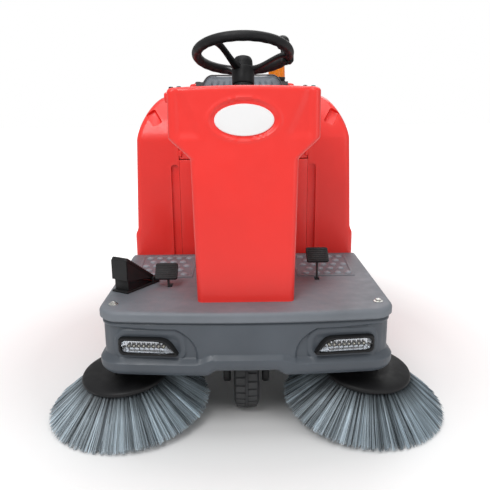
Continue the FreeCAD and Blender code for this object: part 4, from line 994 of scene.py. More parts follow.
@dataclass
class Console:
    """The red front column: tapering leg, flared head with creases, and an oval badge."""

    front_steps: int = 110
    rows: int = 130
    radius: float = 0.017
    wall: float = 0.005
    split: float = -0.400
    badge_z: float = 0.920
    badge_half: Plane = (0.084, 0.044)
    dash_half: Plane = (0.2035, 0.165)
    dash_centre: Plane = (0.0, -0.368)
    cap_places: tuple[float, ...] = (-0.204, -0.182, 0.172, 0.195)

    @staticmethod
    def half(z: float) -> float:
        """Return the half width at a height."""
        if z < 0.81:
            return 0.1435 + 0.0105 * (z - 0.395) / 0.415
        flare = smooth_step((z - 0.806) / 0.070) * 0.35 + 0.65 * unit((z - 0.812) / 0.058)
        return 0.154 + 0.0605 * flare

    @staticmethod
    def crown(x: float, z: float) -> float:
        """Return how much the top edge rises at x, fading out below the head."""
        return 0.006 * (1 - min(1.0, (x / 0.215) ** 2)) * smooth_step((z - 0.93) / 0.07)

    @staticmethod
    def front(z: float) -> float:
        """Return the place of the front face on Y at a height."""
        return -0.565 + 0.030 * (z - 0.395) / 0.613

    def dent(self, x: float, z: float) -> float:
        """Return how far the front face lies back at a point: creases, badge well and rounded top."""
        line = 0.111 + (z - 0.880) * 0.45
        crease = 0.0045 * smooth_step((abs(x) - line) / 0.030) * smooth_step((z - 0.862) / 0.03)
        shoulder = 0.003 * smooth_step((abs(x) - 0.128) / 0.03) * smooth_step((0.845 - z) / 0.05)
        oval = math.hypot(x / 0.094, (z - self.badge_z) / 0.053)
        well = 0.006 * (1 - smooth_step((oval - 0.93) / 0.10))
        lip = -0.0022 * math.exp(-((oval - 1.09) / 0.055) ** 2)
        return crease + shoulder + well + lip

    def edge_roll(self, z: float) -> float:
        """Return how far every side draws in near the top edge."""
        _, high = box_of("console_front_shell")
        over = max(0.0, 1 - (high.z - z) / 0.012)
        return 0.012 * (1 - math.sqrt(max(0.0, 1 - over ** 2)))

    def ring(self, z: float) -> list[Point]:
        """Return the front shell's plan at a height, from its left rear edge round the front."""
        roll = self.edge_roll(z)
        half, front, radius = self.half(z) - roll, self.front(z) + roll, self.radius
        points = [(-half, y, z) for y in (self.split - 0.0004, -0.44, -0.47, front + radius + 0.02)]
        points += [(-half + radius - radius * math.cos(math.pi / 2 * step / 8),
                    front + radius - radius * math.sin(math.pi / 2 * step / 8), z) for step in range(9)]
        flat = half - radius
        for step in range(1, self.front_steps):
            x = -flat + 2 * flat * step / self.front_steps
            edge = smooth_step((flat - abs(x)) / 0.02)
            points.append((x, front + self.dent(x, z) * edge, z))
        points += [(-x, y, level) for x, y, level in points[:13][::-1]]
        return [(x, y, level + self.crown(x, z)) for x, y, level in points]

    def levels(self) -> list[float]:
        """Return the heights of the rings, closer together at the top edge."""
        low, high = box_of("console_front_shell")
        rows = [low.z + (high.z - 0.012 - low.z) * step / self.rows for step in range(self.rows + 1)]
        return rows + [high.z - 0.012 * (1 - math.sin(math.pi / 2 * step / 6)) for step in range(1, 7)]

    def front_shell(self) -> None:
        """Make the front shell."""
        shell = Bench.loft("console_front", [self.ring(z) for z in self.levels()], closed=False, caps=False)
        shell.modify("SOLIDIFY", thickness=self.wall, offset=-1)
        shell.fit("root", "red_shell", "console_front_shell")

    def rear_shell(self) -> None:
        """Make the shell that closes the console towards the driver."""
        low, high = box_of("console_rear_shell")
        rings = []
        for z in [low.z + (high.z - low.z) * step / 60 for step in range(61)]:
            roll = self.edge_roll(z)
            half = self.half(z) - roll - 0.0003
            rear = -0.260 + 0.060 * smooth_step((z - 0.795) / 0.070) - roll
            radius = 0.030
            right = [(half, self.split + 0.0004, z), (half, -0.36, z), (half, rear - radius - 0.01, z)]
            right += [(half - radius + radius * math.cos(math.pi / 2 * step / 8),
                       rear - radius + radius * math.sin(math.pi / 2 * step / 8), z) for step in range(9)]
            right += [(half * share, rear, z) for share in (0.7, 0.5, 0.3, 0.1)]
            ring = right + [(-x, y, level) for x, y, level in right[::-1]]
            rings.append([(x, y, level + self.crown(x, z)) for x, y, level in ring])
        shell = Bench.loft("console_rear", rings, closed=False, caps=False)
        shell.modify("SOLIDIFY", thickness=self.wall, offset=-1)
        bores = []
        for node in ("ignition_key", "horn_button", "direction_rocker", "emergency_stop"):
            low, high = box_of(node)
            centre = middle(low, high)
            reach = max(high.x - low.x, high.z - low.z) / 2 + 0.0015
            bores.append(Bench.rod("bore", (centre.x, -0.20, centre.z), reach, 0.06, Axis.Y, 32))
        shell.carve(*bores)
        shell.fit("root", "red_shell", "console_rear_shell")

    def dash(self) -> None:
        """Make the dash lid, its rim and the four small black caps along its front edge."""
        half_x, half_y = self.dash_half
        centre = self.dash_centre
        rings = []
        for shrink, level in ((0.004, 0.986), (0.0, 0.9885), (0.0, 0.998), (0.002, 1.0005), (0.012, 1.0015),
                              (0.016, 0.9995), (0.03, 0.9995)):
            rings.append([(centre[0] + x, centre[1] + y, level)
                          for x, y in rounded(half_x - shrink, half_y - shrink, 0.036)])
        lid = Bench.loft("dash_lid", rings)
        for line in (-0.14, -0.07, 0.0, 0.07, 0.14):
            lid.slice((line, 0, 0), (1, 0, 0))
        lid.push(lambda spot: True, lambda spot: spot + Vector((0, 0, self.crown(spot.x, 1.0))))
        lid.carve(Bench.rod("column_bore", (0, -0.275, 1.0), 0.036, 0.08, Axis.Z, 48))
        lid.fit("root", "black_plastic", "dash_panel")
        caps = turned("dash_caps", ((0.0068, -0.010), (0.0068, 0.004), (0.0055, 0.0062), (0.002, 0.0068)), 24)
        caps.copies([Matrix.Translation((x, -0.500, 1.0045 + self.crown(x, 1.0)))
                     for x in self.cap_places])
        caps.fit("root", "black_plastic")

    def badge(self) -> None:
        """Make the blank oval plate in its well."""
        half_x, half_z = self.badge_half
        steps = 72
        rings = []
        lean = math.atan2(0.030, 0.613)
        for shrink, depth in ((0.0, 0.004), (0.0, 0.001), (0.002, -0.0006), (0.008, -0.0012),
                              (0.03, -0.0016)):
            ring = []
            for step in range(steps):
                angle = math.tau * step / steps
                x, up = (half_x - shrink) * math.cos(angle), (half_z - shrink) * math.sin(angle)
                ring.append((x, self.front(self.badge_z) + 0.0030 + depth + up * math.tan(lean),
                             self.badge_z + up))
            rings.append(ring)
        plate = Bench.loft("badge", rings)
        plate.fit("root", "white_badge", "badge_plate")

    @staticmethod
    def side_lump() -> None:
        """Make the small red catch on the head's right side."""
        lump = Bench.box("head_catch", (-0.2285, -0.475, 0.968), (-0.2080, -0.430, 0.997)).soften(0.0065, 4)
        lump.fit("root", "red_shell")

    def build(self) -> None:
        """Make the console."""
        self.front_shell()
        self.rear_shell()
        self.dash()
        self.badge()
        self.side_lump()


# ------------------------------------------------------------------ body


@dataclass
class Body:
    """The red rear body: two towers with sloping shoulders, front panel, cowl and trim."""

    inner: float = 0.240
    radius: float = 0.022
    shoulder: float = 0.830
    top: float = 0.985
    groove: tuple[float, float, float] = (0.2565, 0.0145, 0.727)
    lamp: Plane = (0.325, 0.80)

    def share(self, z: float) -> float:
        """Return how much of the shoulder is left at a height, from 1 at its foot to 0 at the top."""
        rise = unit((z - self.shoulder) / (self.top - self.shoulder))
        return max(0.0, 1 - rise ** 1.45) ** 0.69

    def outer(self, z: float) -> float:
        """Return the outer face's place at a height: a flared foot, a straight side, a round shoulder."""
        flare = 0.0095 * smooth_step((z - 0.470) / 0.028)
        side = 0.4185 - flare - 0.013 * unit((z - 0.5) / 0.33)
        return side - (side - 0.300) * (1 - self.share(z))

    def front(self, z: float) -> float:
        """Return the front face's place at a height."""
        low, _ = box_of("side_towers")
        return low.y + 0.105 * (1 - self.share(z))

    def tower(self, side: Side) -> None:
        """Make one tower with its groove and hand grip."""
        sign = side.value
        low, high = box_of("side_towers")
        rings = []
        levels = [low.z + (self.shoulder - low.z) * step / 40 for step in range(41)]
        levels += [self.shoulder + (self.top - self.shoulder) * math.sin(math.pi / 2 * step / 26)
                   for step in range(1, 27)]
        for z in levels:
            outer, front, rear = self.outer(z), self.front(z), high.y
            radius = self.radius
            ring = [(self.inner, front)]
            ring += [(self.inner + (outer - radius - self.inner) * step / 12, front) for step in range(1, 12)]
            ring += [(outer - radius + radius * math.sin(math.pi / 2 * step / 7),
                      front + radius - radius * math.cos(math.pi / 2 * step / 7)) for step in range(8)]
            ring += [(outer, front + radius + (rear - 0.03 - radius - front) * step / 10)
                     for step in range(1, 10)]
            ring += [(outer - 0.03 + 0.03 * math.cos(math.pi / 2 * step / 6),
                      rear - 0.03 + 0.03 * math.sin(math.pi / 2 * step / 6)) for step in range(7)]
            ring += [(self.inner, rear)]
            rings.append([(sign * x, y, z) for x, y in ring])
        tower = Bench.loft(f"tower_{side.word}", rings)
        tower.bevel(lambda edge: all(vertex.co.z > self.top - 0.0005 for vertex in edge.verts)
                    and len(edge.link_faces) == 2 and edge.calc_face_angle(0) > 0.5, 0.008, 4)
        x_mid, half_groove, groove_top_z = self.groove
        groove = Bench.box("groove", (sign * x_mid - half_groove, -0.05, 0.30),
                           (sign * x_mid + half_groove, 0.0020, groove_top_z))
        groove_top = Bench.rod("groove_top", (sign * x_mid, -0.0240, groove_top_z), half_groove, 0.0520,
                               Axis.Y, 40)
        grip = Bench.box("grip", (-0.019, -0.03, -0.032), (0.019, 0.016, 0.032)).soften(0.006, 3)
        grip.turn(Matrix.Translation((sign * 0.330, 0.020, 0.912)) @ spun(-34, "X") @ spun(sign * 28, "Y"))
        tower.carve(groove, groove_top, grip)
        tower.soften(0.0022, 2, 40)
        seam = Bench.box("seam", (sign * 0.30 - 0.2, 0.5468, 0.36), (sign * 0.30 + 0.2, 0.5492, 1.1))
        tower.carve(self.shallow(seam, sign))
        tower.fit("root", "red_shell", *side.carries("side_towers"))

    @staticmethod
    def shallow(seam: Bench, sign: int) -> Bench:
        """Return a seam cutter narrowed to the tower's outer skin."""
        seam.push(lambda spot: sign * spot.x < 0.40, lambda spot: Vector((sign * 0.4035, spot.y, spot.z)))
        return seam

    def front_panel(self) -> None:
        """Make the panel between the towers, with a shallow recessed field in its middle and two small ears
        at its top.
        """
        panel = Bench.box("body_front", (-0.2395, -0.0108, 0.388), (0.2395, -0.005, 0.7585))
        panel.slice((-0.20, 0, 0), (1, 0, 0)).slice((0.20, 0, 0), (1, 0, 0))
        panel.slice((0, 0, 0.43), (0, 0, 1)).slice((0, 0, 0.72), (0, 0, 1))
        panel.inset(lambda face: face.normal.y < -0.9 and abs(face.calc_center_median().x) < 0.1
                    and 0.43 < face.calc_center_median().z < 0.72, 0.012, -0.003)
        panel.soften(0.0015, 2)
        ears = Bench.box("ears", (0.228, -0.015, 0.7695), (0.2397, 0.009, 0.7925)).soften(0.004, 3)
        ears.copies([Matrix.Identity(4), Matrix.Diagonal((-1.0, 1.0, 1.0, 1.0))])
        ears.face_out()
        panel.join(ears)
        panel.fit("root", "red_shell", "body_front_panel")

    def cowl(self) -> None:
        """Make the cowl behind the seat, with the rear door, its louvres and latch."""
        rings = []
        for shrink, z in ((0.0, 0.7625), (0.0, 0.85), (0.0, 0.95), (0.0, 0.985), (0.0, 1.00), (0.0, 1.015),
                          (0.0, 1.033), (0.002, 1.039), (0.006, 1.0435), (0.014, 1.045), (0.05, 1.045)):
            rear = 0.70 - 0.060 * smooth_step((z - 0.985) / 0.062)
            radius = 0.018
            half_y = (rear - 0.556) / 2
            rings.append([(x, 0.556 + half_y + y, z)
                          for x, y in rounded(0.2395 - shrink, half_y - shrink, radius)])
        cowl = Bench.loft("rear_cowl_shell", rings)
        cowl.fit("root", "red_shell", "rear_cowl")
        door = Bench.box("rear_door", (-0.238, 0.6935, 0.389), (0.238, 0.7000, 0.7605))
        louvres = [Bench.box("louvre", (-0.15, 0.690, z), (0.15, 0.71, z + 0.006))
                   for z in (0.60 + 0.018 * index for index in range(7))]
        door.carve(*louvres)
        door.soften(0.0012, 2)
        back = Bench.box("louvre_back", (-0.17, 0.688, 0.585), (0.17, 0.6945, 0.74)).soften(0.001, 1)
        door.join(back)
        door.fit("root", "red_shell")
        latch = Bench.rod("door_latch", (0.0, 0.6995, 0.565), 0.012, 0.005, Axis.Y, 32)
        latch.join(Bench.box("bar", (-0.003, 0.6985, 0.556), (0.003, 0.7035, 0.574)))
        latch.soften(0.0008, 2)
        latch.fit("root", "zinc_steel")

    def tail_lamps(self) -> None:
        """Make the two rear lamps."""
        lamp_x, lamp_z = self.lamp
        for side in Side:
            middle_x = side.value * lamp_x

            def outline(half: float, high: float, radius: float, y: float) -> list[Point]:
                return [(middle_x + x, y, lamp_z + z) for x, z in rounded(half, high, radius)]

            lens = Bench.loft(f"tail_lamp_{side.word}", [
                outline(0.034 - shrink, 0.052 - shrink, 0.012, y)
                for shrink, y in ((0.0, 0.6995), (0.0, 0.704), (0.0015, 0.7065), (0.006, 0.7080))])
            lens.fit("root", "tail_lens")
            frame_rings = [outline(half, high, 0.014, y)
                           for half, high, y in ((0.040, 0.058, 0.699), (0.040, 0.058, 0.7035),
                                                 (0.0375, 0.0555, 0.705), (0.0345, 0.0525, 0.7035),
                                                 (0.0345, 0.0525, 0.699), (0.040, 0.058, 0.699))]
            trim = Bench.loft(f"tail_trim_{side.word}", frame_rings, caps=False)
            trim.weld().face_out().fit("root", "black_plastic")

    def small_caps(self) -> None:
        """Make the red lug with its black cap."""
        lug = Bench.box("hood_lug", (-0.222, 0.548, 0.975), (-0.178, 0.600, 1.046)).soften(0.008, 4)
        lug.fit("root", "red_shell")
        cap = turned("hood_lug_cap", ((0.0145, 0.0), (0.0145, 0.005), (0.011, 0.0085), (0.004, 0.0095)), 32)
        cap.turn(Matrix.Translation((-0.20, 0.574, 1.045)))
        cap.fit("root", "black_plastic")

    def build(self) -> None:
        """Make the body."""
        for side in Side:
            self.tower(side)
        self.front_panel()
        self.cowl()
        self.tail_lamps()
        self.small_caps()


# ------------------------------------------------------------------ steering


@dataclass
class Steering:
    """The steering wheel, its column boot, the spinner knob and its clamp."""

    radius: float = 0.148
    tube: float = 0.0158
    tilt: float = 17.0
    centre: Point = (0.0, -0.230, 1.115)
    waves: int = 26
    wave_depth: float = 0.05
    knob_reach: float = 0.134
    knob_angle: float = 12.0
    spoke_angles: Point = (-5, 115, 235)

    def lay(self) -> Matrix:
        """Return the matrix that carries the wheel from flat at the origin to its place."""
        return Matrix.Translation(self.centre) @ spun(-self.tilt, "X")

    def rim(self) -> None:
        """Make the rim, with finger waves along its underside."""
        rim = Bench.ring("steering_rim_grip", self.radius, self.tube, 272, 24)

        def wave(spot: Vector) -> Vector:
            around = math.atan2(spot.y, spot.x)
            core = Vector((math.cos(around), math.sin(around), 0)) * self.radius
            off = spot - core
            under = smooth_step(-off.z / self.tube)
            return core + off * (1 - self.wave_depth * under * (0.5 + 0.5 * math.cos(self.waves * around)))

        rim.push(lambda spot: spot.z < 0, wave)
        rim.turn(self.lay())
        rim.fit("steering_wheel", "black_plastic", "steering_rim")

    def spokes(self) -> None:
        """Make the three spokes: flat bars that swell into the hub and the rim."""
        rings = []
        for share in [step / 16 for step in range(17)]:
            reach = 0.022 + (self.radius - 0.004 - 0.022) * share
            rise = -0.048 + 0.044 * smooth_step(share * 1.05) - 0.002
            swell = 1 + 0.55 * (1 - share) ** 3 + 0.3 * share ** 6
            rings.append([(reach, y * swell, rise + z * swell)
                          for y, z in rounded(0.0095, 0.0062, 0.0045, 4)])
        spoke = Bench.loft("steering_spokes", rings)
        spoke.copies([spun(angle, "Z") for angle in self.spoke_angles])
        spoke.turn(self.lay())
        spoke.fit("steering_wheel", "black_plastic")

    def hub(self) -> None:
        """Make the hub, its cap and the boot under it."""
        hub = turned("steering_hub", ((0.020, -0.1000), (0.0335, -0.0985), (0.0355, -0.0940),
                                      (0.0355, -0.0500),
                                      (0.0345, -0.0460), (0.0318, -0.0440), (0.0312, -0.0420),
                                      (0.0312, -0.0300), (0.0300, -0.0200), (0.0255, -0.0120),
                                      (0.0180, -0.0085), (0.0080, -0.0070)))
        hub.turn(self.lay())
        hub.fit("steering_wheel", "black_plastic", "steering_spider", "steering_hub_cap")
        profile = [(0.0290, -0.165)]
        for turn in range(7):
            base = -0.162 + turn * 0.0088
            profile += [(0.0318, base), (0.0318, base + 0.0030), (0.0292, base + 0.0048),
                        (0.0292, base + 0.0070)]
        boot = turned("steering_boot", (*profile, (0.028, -0.0995)))
        boot.turn(self.lay())
        boot.fit("root", "black_plastic")

    def knob(self) -> None:
        """Make the spinner knob and the clamp that holds it to the rim."""
        around = spun(self.knob_angle, "Z")
        spot = self.lay() @ around @ Matrix.Translation((self.knob_reach, 0, 0))
        knob = turned("spinner_grip", ((0.0075, 0.0235), (0.010, 0.0275), (0.0165, 0.0315), (0.0205, 0.0385),
                                       (0.0218, 0.047), (0.0214, 0.055), (0.0185, 0.0625), (0.0125, 0.0685),
                                       (0.0055, 0.0713)), 48)
        knob.turn(spot)
        knob.fit("spinner", "black_gloss", "spinner_knob")
        offset = self.radius - self.knob_reach
        clamp = Bench.loft("spinner_saddle", [[(offset + x, y, z) for x, z in rounded(reach, reach, 0.009)]
                                              for reach, y in ((0.0175, -0.0115), (0.0192, -0.0095),
                                                               (0.0192, 0.0095), (0.0175, 0.0115))])
        post = turned("post", ((0.0075, 0.012), (0.0075, 0.024)), 32)
        bolts = Bench.rod("bolts", (0.014, 0.0, -0.020), 0.0035, 0.004, sides=6)
        bolts.copies([Matrix.Translation((0, -0.006, 0)), Matrix.Translation((0, 0.006, 0))])
        clamp.join(post, bolts)
        clamp.turn(spot)
        clamp.fit("steering_wheel", "black_plastic", "spinner_clamp")

    def build(self) -> None:
        """Make the steering wheel."""
        self.rim()
        self.spokes()
        self.hub()
        self.knob()


# ------------------------------------------------------------------ seat


@dataclass
class Seat:
    """The two vinyl cushions on their frame, with piping and sewn channels."""

    back_taper: float = 0.23
    cap: float = 0.024
    edge_cap: float = 0.006
    welt: float = 0.0032
    voxel: float = 0.006

    @staticmethod
    def narrow(spot: Vector, half_y: float, taper: float) -> Vector:
        """Return a point drawn in across X as it rises along Y."""
        return Vector((spot.x * (1 - taper * smooth_step((spot.y + half_y) / (2 * half_y))), spot.y, spot.z))

    def stuffed(self, name: str, half: Point, radius: float, place: Matrix,
                channels: Sequence[float], taper: float = 0.0) -> Bench:
        """Return a cushion blown up from a rounded block at the origin, then carried to its place.

        Args:
            name: The piece's name.
            half: The cushion's half sizes.
            radius: The round of its edges.
            place: The matrix that carries it.
            channels: The places across X where a seam is sewn into the padded face.
            taper: The share of its width that it loses towards +Y.
        Returns:
            The cushion on the bench.
        """
        shrink = 0.010
        pad = Bench.box(name, [-size + shrink for size in half], [size - shrink for size in half])
        pad.bevel(lambda edge: abs(edge.verts[0].co.z - edge.verts[1].co.z) > half[2], 0.045, 6)
        pad.soften(radius, 5, 60)
        pad.modify("REMESH", mode="VOXEL", voxel_size=self.voxel)
        self.inflate(pad)
        spots = [vertex.co for vertex in pad.piece.data.vertices]
        grow = [size / max(abs(spot[index]) for spot in spots) for index, size in enumerate(half)]
        pad.push(lambda spot: True, lambda spot: Vector([
            value * factor for value, factor in zip(spot, grow)]))
        pad.modify("SUBSURF", levels=1, render_levels=1)

        def sew(spot: Vector) -> Vector:
            depth = 0.0
            for line in channels:
                depth += 0.008 * math.exp(-((spot.x - line) / 0.0045) ** 2)
            inward = smooth_step((half[0] - 0.03 - abs(spot.x)) / 0.02)
            share = smooth_step((half[1] - 0.016 - abs(spot.y)) / 0.03)
            face = smooth_step((spot.z - half[2] * 0.2) / (half[2] * 0.5))
            return Vector((spot.x, spot.y, spot.z - depth * inward * share * face))

        pad.push(lambda spot: spot.z > 0, sew)
        pad.push(lambda spot: taper > 0, lambda spot: self.narrow(spot, half[1], taper))
        return pad.turn(place)

    def inflate(self, pad: Bench) -> None:
        """Blow the cushion up as cloth under pressure and limit how far it moves."""
        start = [vertex.co.copy() for vertex in pad.piece.data.vertices]
        pad.clear()
        cloth = pad.piece.modifiers.new("Cloth", "CLOTH")
        settings = cloth.settings
        settings.use_pressure, settings.uniform_pressure_force = True, 4.0
        settings.effector_weights.gravity = 0.0
        settings.quality, settings.mass = 5, 0.3
        scene = bpy.context.scene
        for number in range(1, 21):
            scene.frame_set(number)
        pad.choose()
        bpy.ops.object.modifier_apply(modifier=cloth.name)
        for vertex, old in zip(pad.piece.data.vertices, start):
            move = vertex.co - old
            inward = move.xy * min(1.0, self.edge_cap / max(move.xy.length, 1e-6))
            vertex.co = old + Vector((*inward, max(-self.cap, min(self.cap, move.z))))
        scene.frame_set(1)

    @staticmethod
    def piping(name: str, half_x: float, half_y: float, level: float, radius: float, place: Matrix,
               taper: float = 0.0) -> Bench:
        """Return a thin welt that runs round a cushion."""
        line = [tuple(Seat.narrow(Vector((x, y, 0)), half_y, taper).xy)
                for x, y in rounded(half_x, half_y, radius, 8)]
        rings = []
        count = len(line)
        for index, (x, y) in enumerate(line):
            before, after = Vector((*line[index - 1], 0)), Vector((*line[(index + 1) % count], 0))
            ahead = (after - before).normalized()
            out = Vector((ahead.y, -ahead.x, 0))
            rings.append([tuple(Vector((x, y, level)) + out * Seat.welt * math.cos(math.tau * step / 8)
                                + Vector((0, 0, Seat.welt * math.sin(math.tau * step / 8))))
                          for step in range(8)])
        welt = Bench.loft(name, [*rings, rings[0]], caps=False)
        welt.weld()
        return welt.face_out().turn(place)

    @staticmethod
    def hood() -> None:
        """Make the red hinged hood that carries the seat, with its turned-down front lip and hinge pin."""
        hood = Bench.box("seat_hood", (-0.2345, -0.0030, 0.7625), (0.2345, 0.5475, 0.7718))
        hood.inset(lambda face: face.normal.z > 0.9, 0.012, 0.0)
        lip = Bench.box("lip", (-0.2385, -0.0100, 0.7610), (0.2385, 0.0020, 0.8500)).soften(0.0030, 3)
        hood.soften(0.0018, 2)
        hood.join(lip)
        hood.fit("seat", "red_shell", "seat_deck")
        pin = Bench.rod("hood_pin", (0, -0.003, 0.781), 0.0062, 0.4700, Axis.X, 24).soften(0.0010, 2)
        pin.fit("seat", "zinc_steel")

    def build(self) -> None:
        """Make the seat."""
        self.hood()
        low, high = box_of("seat_cushion")
        half = (high - low) / 2
        place = Matrix.Translation(middle(low, high))
        pad = self.stuffed("seat_pad", tuple(half), 0.030, place, (-0.11, 0.0, 0.11))
        pad.fit("seat", "seat_vinyl", "seat_cushion")
        lower = self.piping("seat_pad_piping", half.x - 0.003, half.y - 0.003, -0.012, 0.045, place)
        lower.fit("seat", "piping")
        lean = spun(-9, "X")
        upright = Matrix.Translation((0, 0.432, 0.846)) @ lean @ Matrix.Translation((0, 0.0, 0.116))
        face = spun(90, "X")
        seat_back = upright @ face
        backrest = self.stuffed("seat_back", (0.220, 0.116, 0.037), 0.028, seat_back,
                                [-0.165 + 0.033 * index for index in range(11)], self.back_taper)
        backrest.fit("seat", "seat_vinyl", "seat_backrest")
        for name, level in (("seat_back_piping", 0.018), ("seat_back_piping_rear", -0.022)):
            welt = self.piping(name, 0.2185, 0.1145, level, 0.048, seat_back, self.back_taper)
            welt.fit("seat", "piping")


# ------------------------------------------------------------------ beacon


@dataclass
class Beacon:
    """The amber warning light on the cowl."""

    centre: Plane = (0.160, 0.600)

    def build(self) -> None:
        """Make the base and the ribbed lens."""
        low, high = box_of("beacon_base")
        place = Matrix.Translation((*self.centre, 0.0))
        base = turned("beacon_foot", ((0.030, low.z), (0.0395, low.z), (0.040, low.z + 0.002),
                                      (0.040, low.z + 0.010), (0.0375, low.z + 0.0125),
                                      (0.0375, low.z + 0.015), (0.0395, low.z + 0.0165),
                                      (0.0395, high.z - 0.002), (0.038, high.z), (0.02, high.z)))
        base.turn(place).fit("root", "black_plastic", "beacon_base")
        low, high = box_of("beacon_lens")
        ribs = 48
        levels = [(1.0, low.z + 0.0004), (1.0, low.z + 0.004), (0.985, low.z + 0.02), (0.965, low.z + 0.042),
                  (0.94, high.z - 0.009), (0.86, high.z - 0.0035), (0.70, high.z - 0.0008), (0.35, high.z)]
        rings = []
        for share, level in levels:
            ring = []
            for step in range(ribs * 4):
                wave = 1 - 0.022 * (step % 4 in (2, 3)) * (share > 0.9)
                angle = math.tau * step / (ribs * 4)
                ring.append((0.038 * share * wave * math.cos(angle), 0.038 * share * wave * math.sin(angle),
                             level))
            rings.append(ring)
        lens = Bench.loft("beacon_dome", rings)
        lens.turn(place).fit("root", "amber_lens", "beacon_lens")


# ------------------------------------------------------------------ pedals


@dataclass
class Pedals:
    """The ribbed throttle, the brake pad and the flap pad."""

    pad_half: tuple[float, float, float] = (0.036, 0.030, 0.005)
    arm_foot: float = 0.3520
    heel: Point = (-0.324, -0.350, 0.411)
    yaw: float = -30.0
    slope: float = -35.0

    def lever(self, name: str, body: str, node: str, pivot: Point, reach: float, slope: float,
              shift: float = 0.0) -> None:
        """Make one pad on its cranked arm, which comes up through the deck right under the pad.

        Args:
            name: The pieces' first word.
            body: The body they ride on.
            node: The CAD node they stand for.
            pivot: The pin that the arm turns on.
            reach: The arm's length.
            slope: The pad's rise in degrees.
            shift: How far the pad is set off its arm across X.
        """
        slant = Matrix.Translation(pivot) @ spun(slope, "X")
        half_x, half_y, half_z = self.pad_half
        rings = [[(shift + x, reach + y, z) for x, y in rounded(half_x - shrink, half_y - shrink, 0.007)]
                 for shrink, z in ((0.003, -half_z), (0.0, -half_z + 0.002), (0.0, half_z - 0.003),
                                   (0.0015, half_z - 0.001), (0.004, half_z - 0.001))]
        pad = Bench.loft(f"{name}_pad", rings)
        ribs = [Bench.box("rib", (shift - half_x + 0.005, reach + y - 0.0018, half_z - 0.0025),
                          (shift + half_x - 0.005, reach + y + 0.0018, half_z))
                for y in (-0.021, -0.0126, -0.0042, 0.0042, 0.0126, 0.021)]
        for rib in ribs:
            rib.soften(0.0008, 2)
        pad.join(*ribs)
        pad.turn(slant).fit(body, "black_plastic", node)
        x, y, z = pivot
        lift = Vector((0, reach * math.cos(math.radians(slope)), reach * math.sin(math.radians(slope))))
        pad_y, pad_z = y + lift.y, z + lift.z
        foot = self.arm_foot
        arm = Bench.box(f"{name}_arm", (x - 0.0030, pad_y - 0.008, foot), (x + 0.0030, pad_y + 0.008, pad_z))
        arm.push(lambda spot: spot.z > 0.40, lambda spot: Vector((spot.x + shift * 0.7, spot.y, spot.z)))
        arm.soften(0.0012, 2)
        run = Bench.box("run", (x - 0.0045, y, foot), (x + 0.0045, pad_y + 0.008, foot + 0.016))
        run.soften(0.0012, 2)
        eye = Bench.rod("eye", pivot, 0.0138, 0.0195, Axis.X, 36).soften(0.0012, 2)
        plate = Bench.box("plate", (shift - 0.017, reach - 0.026, -0.0085),
                          (shift + 0.017, reach + 0.022, -0.0052))
        plate.soften(0.0012, 2)
        plate.turn(slant)
        arm.join(run, eye, plate)
        arm.fit(body, "black_steel")
        bolt = Bench.rod(f"{name}_bolts", (0, 0, 0), 0.0042, 0.0032, Axis.Z, 6).soften(0.0005, 1)
        washer = turned("washer", ((0.0062, -0.0012), (0.0062, -0.0002), (0.0035, 0.0)), 24)
        bolt.join(washer)
        bolt.turn(Matrix.Rotation(math.pi, 4, "X"))
        bolt.copies([slant @ Matrix.Translation((shift + across, reach + along, -0.0105))
                     for across in (-0.011, 0.011) for along in (-0.019, 0.015)])
        bolt.face_out().fit(body, "zinc_steel")

    def throttle(self) -> None:
        """Make the ribbed throttle plate on its hinge base."""
        slant = Matrix.Translation(self.heel) @ spun(self.yaw, "Z") @ spun(self.slope, "X")
        low_z, high_z = -0.0045, 0.0095
        rings = [[(x, -0.080 + y, z) for x, y in rounded(0.031 - shrink, 0.080 - shrink, 0.008)]
                 for shrink, z in ((0.002, low_z), (0.0, low_z + 0.002), (0.0, high_z - 0.0045),
                                   (0.0012, high_z - 0.003), (0.004, high_z - 0.003))]
        plate = Bench.loft("throttle_plate", rings)
        ribs = []
        for index in range(15):
            y = -0.148 + index * 0.0098
            rib = Bench.box("rib", (-0.0265, y - 0.0021, high_z - 0.0045), (0.0265, y + 0.0021, high_z))
            rib.soften(0.0009, 2)
            ribs.append(rib)
        heel = Bench.rod("heel", (0, 0, 0), 0.0088, 0.062, Axis.X, 40).soften(0.001, 2)
        plate.join(heel, *ribs)
        webs = []
        for x in (-0.010, 0.010):
            web = Bench.box("web", (x - 0.0018, -0.150, -0.016), (x + 0.0018, -0.012, low_z + 0.001))
            web.push(lambda spot: spot.y > -0.10 and spot.z < -0.01,
                     lambda spot: Vector((spot.x, spot.y, -0.007)))
            webs.append(web)
        edge = [(-0.012, -0.004), (-0.157, -0.004), (-0.1214, -0.0548)]
        for near, far in ((-0.0310, -0.0288), (0.0288, 0.0310)):
            webs.append(Bench.loft("skirt", [[(x, y, z) for y, z in edge] for x in (near, far)]))
        apron = [(-0.157, -0.004), (-0.1214, -0.0548), (-0.1192, -0.0536), (-0.1545, -0.0025)]
        webs.append(Bench.loft("apron", [[(x, y, z) for y, z in apron] for x in (-0.0310, 0.0310)]))
        plate.join(*webs)
        plate.turn(slant).fit("throttle", "black_plastic", "throttle_pedal")

